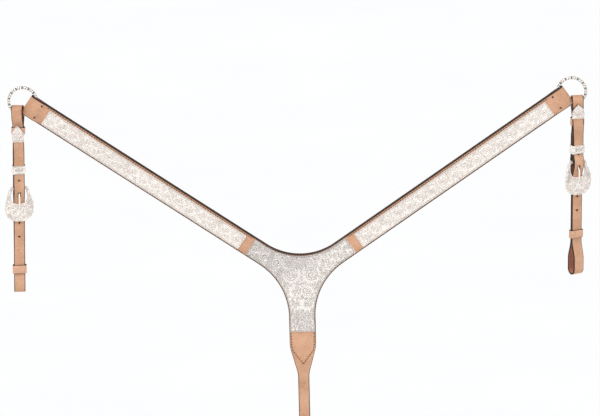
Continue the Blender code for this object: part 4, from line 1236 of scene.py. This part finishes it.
def build_silver_keeper(name, tug, place):
    """Silver band with raised rims, and a pair of scrolls and small leaves on its front."""
    high, low = tug["silver_keeper"]
    front, back = tug["billet"][-1][1] - TUG_PLY / 2 - KEEPER_ROOM, SEAM + TUG_PLY + LAYER + KEEPER_ROOM
    wall, half, middle, rim = 0.0013, TUG_WIDTH / 2 - 0.0002, (low + high) / 2, 0.0011
    shape = Shape(DARK_SET, lambda u, v, rise: Vector((u, front - wall - rise, v)))
    keeper_skin(shape, low, high, front, back, wall, 0.0004,
                lambda span, place: STIPPLED if span == 0 else BRIGHT)
    for v in (low + rim, high - rim):
        engrave(shape, [(-half, v), (0, v), (half, v)], 0.0004)
    for sign in (-1, 1):
        scroll(shape, (sign * 0.0046, middle), 0.0038, math.pi / 2 - sign * 1.2, sign, 1.3)
        for rise in (-1, 1):
            outward = -rise * sign * 0.3 + (sign < 0) * math.pi
            leaf(shape, (sign * 0.0085, middle + rise * 0.0034), outward, 0.002, 0.0004, 0.5)
            upward = rise * math.pi / 2 - sign * 0.4
            leaf(shape, (0, middle + rise * 0.0012), upward, 0.0032, 0.0005, sign * 0.6)
    shape.moved(place).stand_for(f"{name}_tug_silver_keeper", f"{name}_silver_keeper", "silver_trim")


# ---- buckles -------------------------------------------------------------------------------------
def buckle_outline():
    """Frame drawn from the bar down, clockwise: the opening, then the scalloped outside."""
    outer = spline_through([(0.0128, 0.0040), (0.0168, -0.0010), (0.0205, -0.0110), (0.0238, -0.0220),
                            (0.0250, -0.0330), (0.0236, -0.0430), (0.0190, -0.0510), (0.0110, -0.0560),
                            (0.0, -0.0578)], 10)
    inner = spline_through([(0.0, -0.0262), (0.0060, -0.0255), (0.0118, -0.0225), (0.0142, -0.0150),
                            (0.0132, -0.0060), (0.0110, 0.0036)], 6)
    scallops, last = 9, len(outer) - 1
    for index in range(1, last):
        run = (outer[index + 1] - outer[index - 1]).normalized()
        swell = 0.0009 * abs(math.sin(math.pi * scallops * index / last)) - 0.0004
        outer[index] = outer[index] + Vector((-run.y, run.x)) * swell
    mirrored = [[Vector((-point.x, point.y)) for point in half] for half in (outer[:-1], inner[1:])]
    loop = outer + mirrored[0][::-1] + mirrored[1][::-1] + inner
    return [tuple(point) for point in loop[::-1]]


def build_buckle(name, tug, place):
    """Arched frame with three pairs of scrolls and two sprays of leaves, and the bar across its top."""
    bar, thickness = tug["bar"], 0.0030

    def surface(u, v, rise):
        arch = 0.0044 * smooth((-0.003 - v) / 0.020)
        return place((u, BAR_Y - thickness / 2 - arch - rise, bar + v))

    outline = buckle_outline()
    shape = Shape(PALE_SET, surface)
    plate_body(shape, lambda margin: inset(outline, margin), thickness, 0.0007)
    engrave(shape, inset(outline, 0.0014), 0.00040, RISE, True)
    shape.tube([place((x, BAR_Y, bar)) for x in (-0.0128, -0.006, 0, 0.006, 0.0128)], BAR_RADIUS, 16)
    scrolls = []
    for sign in (-1, 1):
        scrolls += [((sign * 0.0078, -0.0400), 0.0058, math.pi / 2 + sign * 0.6, -sign),
                    ((sign * 0.0186, -0.0330), 0.0038, math.pi / 2 - sign * 0.9, sign),
                    ((sign * 0.0066, -0.0510), 0.0030, -math.pi / 2 + sign * 0.8, sign)]
    flow, clear = scrollwork(shape, scrolls, 1.4)
    for turn in (-0.5, -0.25, 0, 0.25, 0.5):
        down, up = (turn * 0.006, -0.0300 - abs(turn) * 0.002), (turn * 0.003, -0.0555 + abs(turn) * 0.002)
        leaf(shape, down, -math.pi / 2 + turn, 0.0075, 0.0008, turn * 0.8)
        leaf(shape, up, math.pi / 2 - turn, 0.0062, 0.0006, turn * 0.6)
    ground = inset(outline, 0.0019)
    fill_leaves(shape, (-0.026, -0.058, 0.026, 0.004),
                lambda point: contains(ground, point) and clear(point), flow, 0.0019, 9, 1.4, 0.2)
    shape.stand_for(f"{name}_buckle_frame", f"{name}_tug", "silver_trim")


def build_tongue(name, tug, place):
    shape, bar = Shape([SILVER]), tug["bar"]
    eye = arc((BAR_Y, bar), 0.0035, 0, 345, 23)
    shape.tube([place((0, y, z)) for y, z in eye], 0.0011, 12, True)
    shank = spline_through([(0, -0.0036, -0.0028), (0, -0.0047, -0.0068), (0, -0.0072, -0.0110),
                            (0, -0.0098, -0.0155), (0, -0.0099, -0.0225), (0, -0.0090, -0.0290),
                            (0, -0.0088, -0.0325)], 5)
    shape.tube([place(point + Vector((0, 0, bar))) for point in shank],
               lambda share: 0.00145 * (1 - 0.35 * share ** 3), 14)
    shape.stand_for(f"{name}_buckle_tongue", f"{name}_tongue", "silver_trim", 50)


def build_chape_screws(name, tug, place):
    for label, rise in (("lower", 0.0130), ("upper", 0.0205)):
        shape = Shape([STEEL])
        for facing, depth in ((-1, -SEAM - TUG_PLY), (1, LAYER - SEAM)):
            seat = (0, depth - facing * 0.0002, tug["bar"] + rise)
            shape.lathe(screw_head(0.0030, 0.00022), facing_out(seat, facing), 20)
        shape.moved(place).stand_for(f"{name}_chape_screw_{label}", f"{name}_tug", "screws")


def build_tug(name, tug):
    place = tug_place(tug)
    for build in (build_strap, build_billet, build_tip, build_keepers, build_silver_keeper, build_buckle,
                  build_tongue, build_chape_screws):
        build(name, tug, place)


# ---- centre strap and snap -----------------------------------------------------------------------
def to_frame(point):
    """From the centre strap's (depth, height, across) to the frame."""
    return standing(point) + MID


def build_centre():
    low, inner = CENTRE_BEND - BEND_GAP / 2, CENTRE_Y + CENTRE_PLY + SEAM
    fold = arc((EYE_Y, EYE_Z), EYE_WRAP, 180, 360, 20)
    fold += turned_end(EYE_Z, EYE_Y + EYE_WRAP, inner, 0.013, 0.014, 0.001)
    path = [(CENTRE_Y, z, CENTRE_FULL_PLY) for z in (low, TAIL_TOP + 0.015)]
    path += [(CENTRE_Y, TAIL_TOP + 0.003), (CENTRE_Y, EYE_Z), *fold, (inner, TAIL_TOP)]
    shape = Shape(LEATHER_SET)
    add_strap(shape, path, CENTRE_WIDTH / 2, CENTRE_PLY, -1)
    shape.moved(to_frame).stand_for("centre_strap", "centre", "leather")
    build_throat(low)
    for label, z in (("upper", TAIL_TOP - 0.009), ("lower", TAIL_TOP - 0.029)):
        shape = Shape(DARK_SET)
        for facing, depth in ((-1, CENTRE_Y - CENTRE_PLY / 2), (1, inner + CENTRE_PLY / 2)):
            middle = Vector((0, depth, z)) + MID
            shape.lathe(screw_head(0.0042, 0.0009), facing_out(middle, facing), 24)
            shape.surface = lambda u, v, rise: Vector((u, facing * (0.0008 + rise), v)) + middle
            for angle in whole_turn(8):
                start = 0.0006 * math.cos(angle), 0.0006 * math.sin(angle)
                leaf(shape, start, angle, 0.0028, 0.0006, 0.3, 0.0002, 3)
        shape.stand_for(f"centre_screw_{label}", "centre", "screws")


def build_throat(low):
    """The leather between the yoke and the centre strap: the face goes on, the lining is skived away."""
    face, lining = Shape(LEATHER_SET), Shape(LINING_SET)
    front_path, back_path = [], []
    for z in steps(STEM_END, low, 0.0008):
        share = smooth((STEM_END - z) / (STEM_END - low))
        middle, ply = -PLY_MIDDLE + (CENTRE_Y + PLY_MIDDLE) * share, PLY + (CENTRE_FULL_PLY - PLY) * share
        front_path.append((middle, z, ply))
        skived = PLY * (1 - 0.93 * share)
        back_path.append((SEAM / 2 + skived / 2 - 0.0003 * share, z, skived))
    add_strap(face, front_path, CENTRE_WIDTH / 2, PLY, -1)
    add_strap(lining, back_path, CENTRE_WIDTH / 2, PLY, 1, LINING_INK)
    ends = to_frame((CENTRE_Y, STEM_END, 0)), to_frame((CENTRE_Y, low, 0))
    for label, shape in (("throat_face", face), ("throat_lining", lining)):
        bend(shape.moved(to_frame).build(label), ("yoke", "centre"), *ends, "leather")


def smooth_group():
    """Shades a whole solid smooth; its softened edges then keep the flats flat."""
    group = bpy.data.node_groups.new("smooth", "GeometryNodeTree")
    for way in ("INPUT", "OUTPUT"):
        group.interface.new_socket("Geometry", in_out=way, socket_type="NodeSocketGeometry")
    kinds = ("NodeGroupInput", "GeometryNodeSetShadeSmooth", "NodeGroupOutput")
    start, shade, end = (group.nodes.new(kind) for kind in kinds)
    group.links.new(start.outputs[0], shade.inputs[0])
    group.links.new(shade.outputs[0], end.inputs[0])
    return group


def finish_snap():
    """The snap keeps its own solids, with softened edges and a plated finish."""
    group = smooth_group()
    for name in ("snap_eye", "snap_body", "snap_bolt"):
        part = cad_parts[name]
        part.data.materials.clear()
        part.data.materials.append(STEEL)
        part.modifiers.new("join", "WELD").merge_threshold = 0.000002
        part.modifiers.new("smooth", "NODES").node_group = group
        soften = part.modifiers.new("soften", "BEVEL")
        soften.width, soften.segments, soften.limit_method = 0.0003, 2, "ANGLE"
        soften.angle_limit = math.radians(50)
        part.modifiers.new("even", "WEIGHTED_NORMAL")


def build_spring():
    """The snap's coil is a piece of its own."""
    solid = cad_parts["snap_spring"]
    mesh = solid.data.copy()
    mesh.transform(solid.matrix_world)
    mesh.materials.clear()
    mesh.materials.append(STEEL)
    coil = add_object("snap_coil", mesh)
    settle(coil, "snap_body", "steel")
    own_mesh(coil)
    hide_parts("snap_spring")


# ---- camera, light and floor ---------------------------------------------------------------------
def build_stage():
    size, drop = 60.0, 0.35
    shape = Shape([pale_floor("pale_floor")])
    level = CAD_BOX[0].z - drop
    shape.skin([[(x * size, y * size, z) for x, y in ((-1, -1), (1, -1), (1, 1), (-1, 1))]
                for z in (level - 0.02, level)])
    shape.build("floor")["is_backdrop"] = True


def build_camera():
    """Long lens from a little above, as a hung catalogue shot."""
    data = bpy.data.cameras.new("camera")
    data.sensor_width, data.lens = 36.0, 413.5
    data.clip_start, data.clip_end = 0.5, 200
    azimuth, elevation, roll = math.radians(1.5), math.radians(15), math.radians(-1.4)
    target, distance = Vector((0.0005, 0, 0.1263)), 12.0
    place = Matrix.Rotation(azimuth, 4, "Z") @ Matrix.Rotation(math.pi / 2 - elevation, 4, "X")
    place @= Matrix.Rotation(roll, 4, "Z")
    place.translation = target + place.col[2].xyz * distance
    camera = add_object("camera", data)
    camera.matrix_world = place
    bpy.context.scene.camera = camera


def build_light():
    world = bpy.data.worlds.new("studio")
    bpy.context.scene.world = world
    world.use_nodes = True
    sky = world.node_tree.nodes["Background"].inputs
    sky["Color"].default_value, sky["Strength"].default_value = (0.97, 0.98, 1.0, 1.0), 0.50
    for name, strength, spread, aim in (("key", 1.75, 38, (0.55, 0.75, -1.25)),
                                        ("fill", 0.75, 50, (-0.9, 0.8, -0.7))):
        data = bpy.data.lights.new(name, "SUN")
        data.energy, data.angle = strength, math.radians(spread)
        light = add_object(name, data)
        light.rotation_euler = Vector(aim).to_track_quat("-Z", "Y").to_euler()
    bpy.context.scene.view_settings.view_transform = "Standard"


def write_size():
    boxes = {"cad": CAD_BOX, "visual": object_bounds()}
    {key: [list(low), list(high)] for key, (low, high) in boxes.items()}


build_yoke()
for side_name, side_sign in SIDES.items():
    build_arm(side_name, side_sign)
    build_ring(side_name, side_sign)
    build_tug(side_name, TUGS[side_name])
build_centre()
finish_snap()
build_spring()
build_stage()
build_camera()
build_light()
write_size()
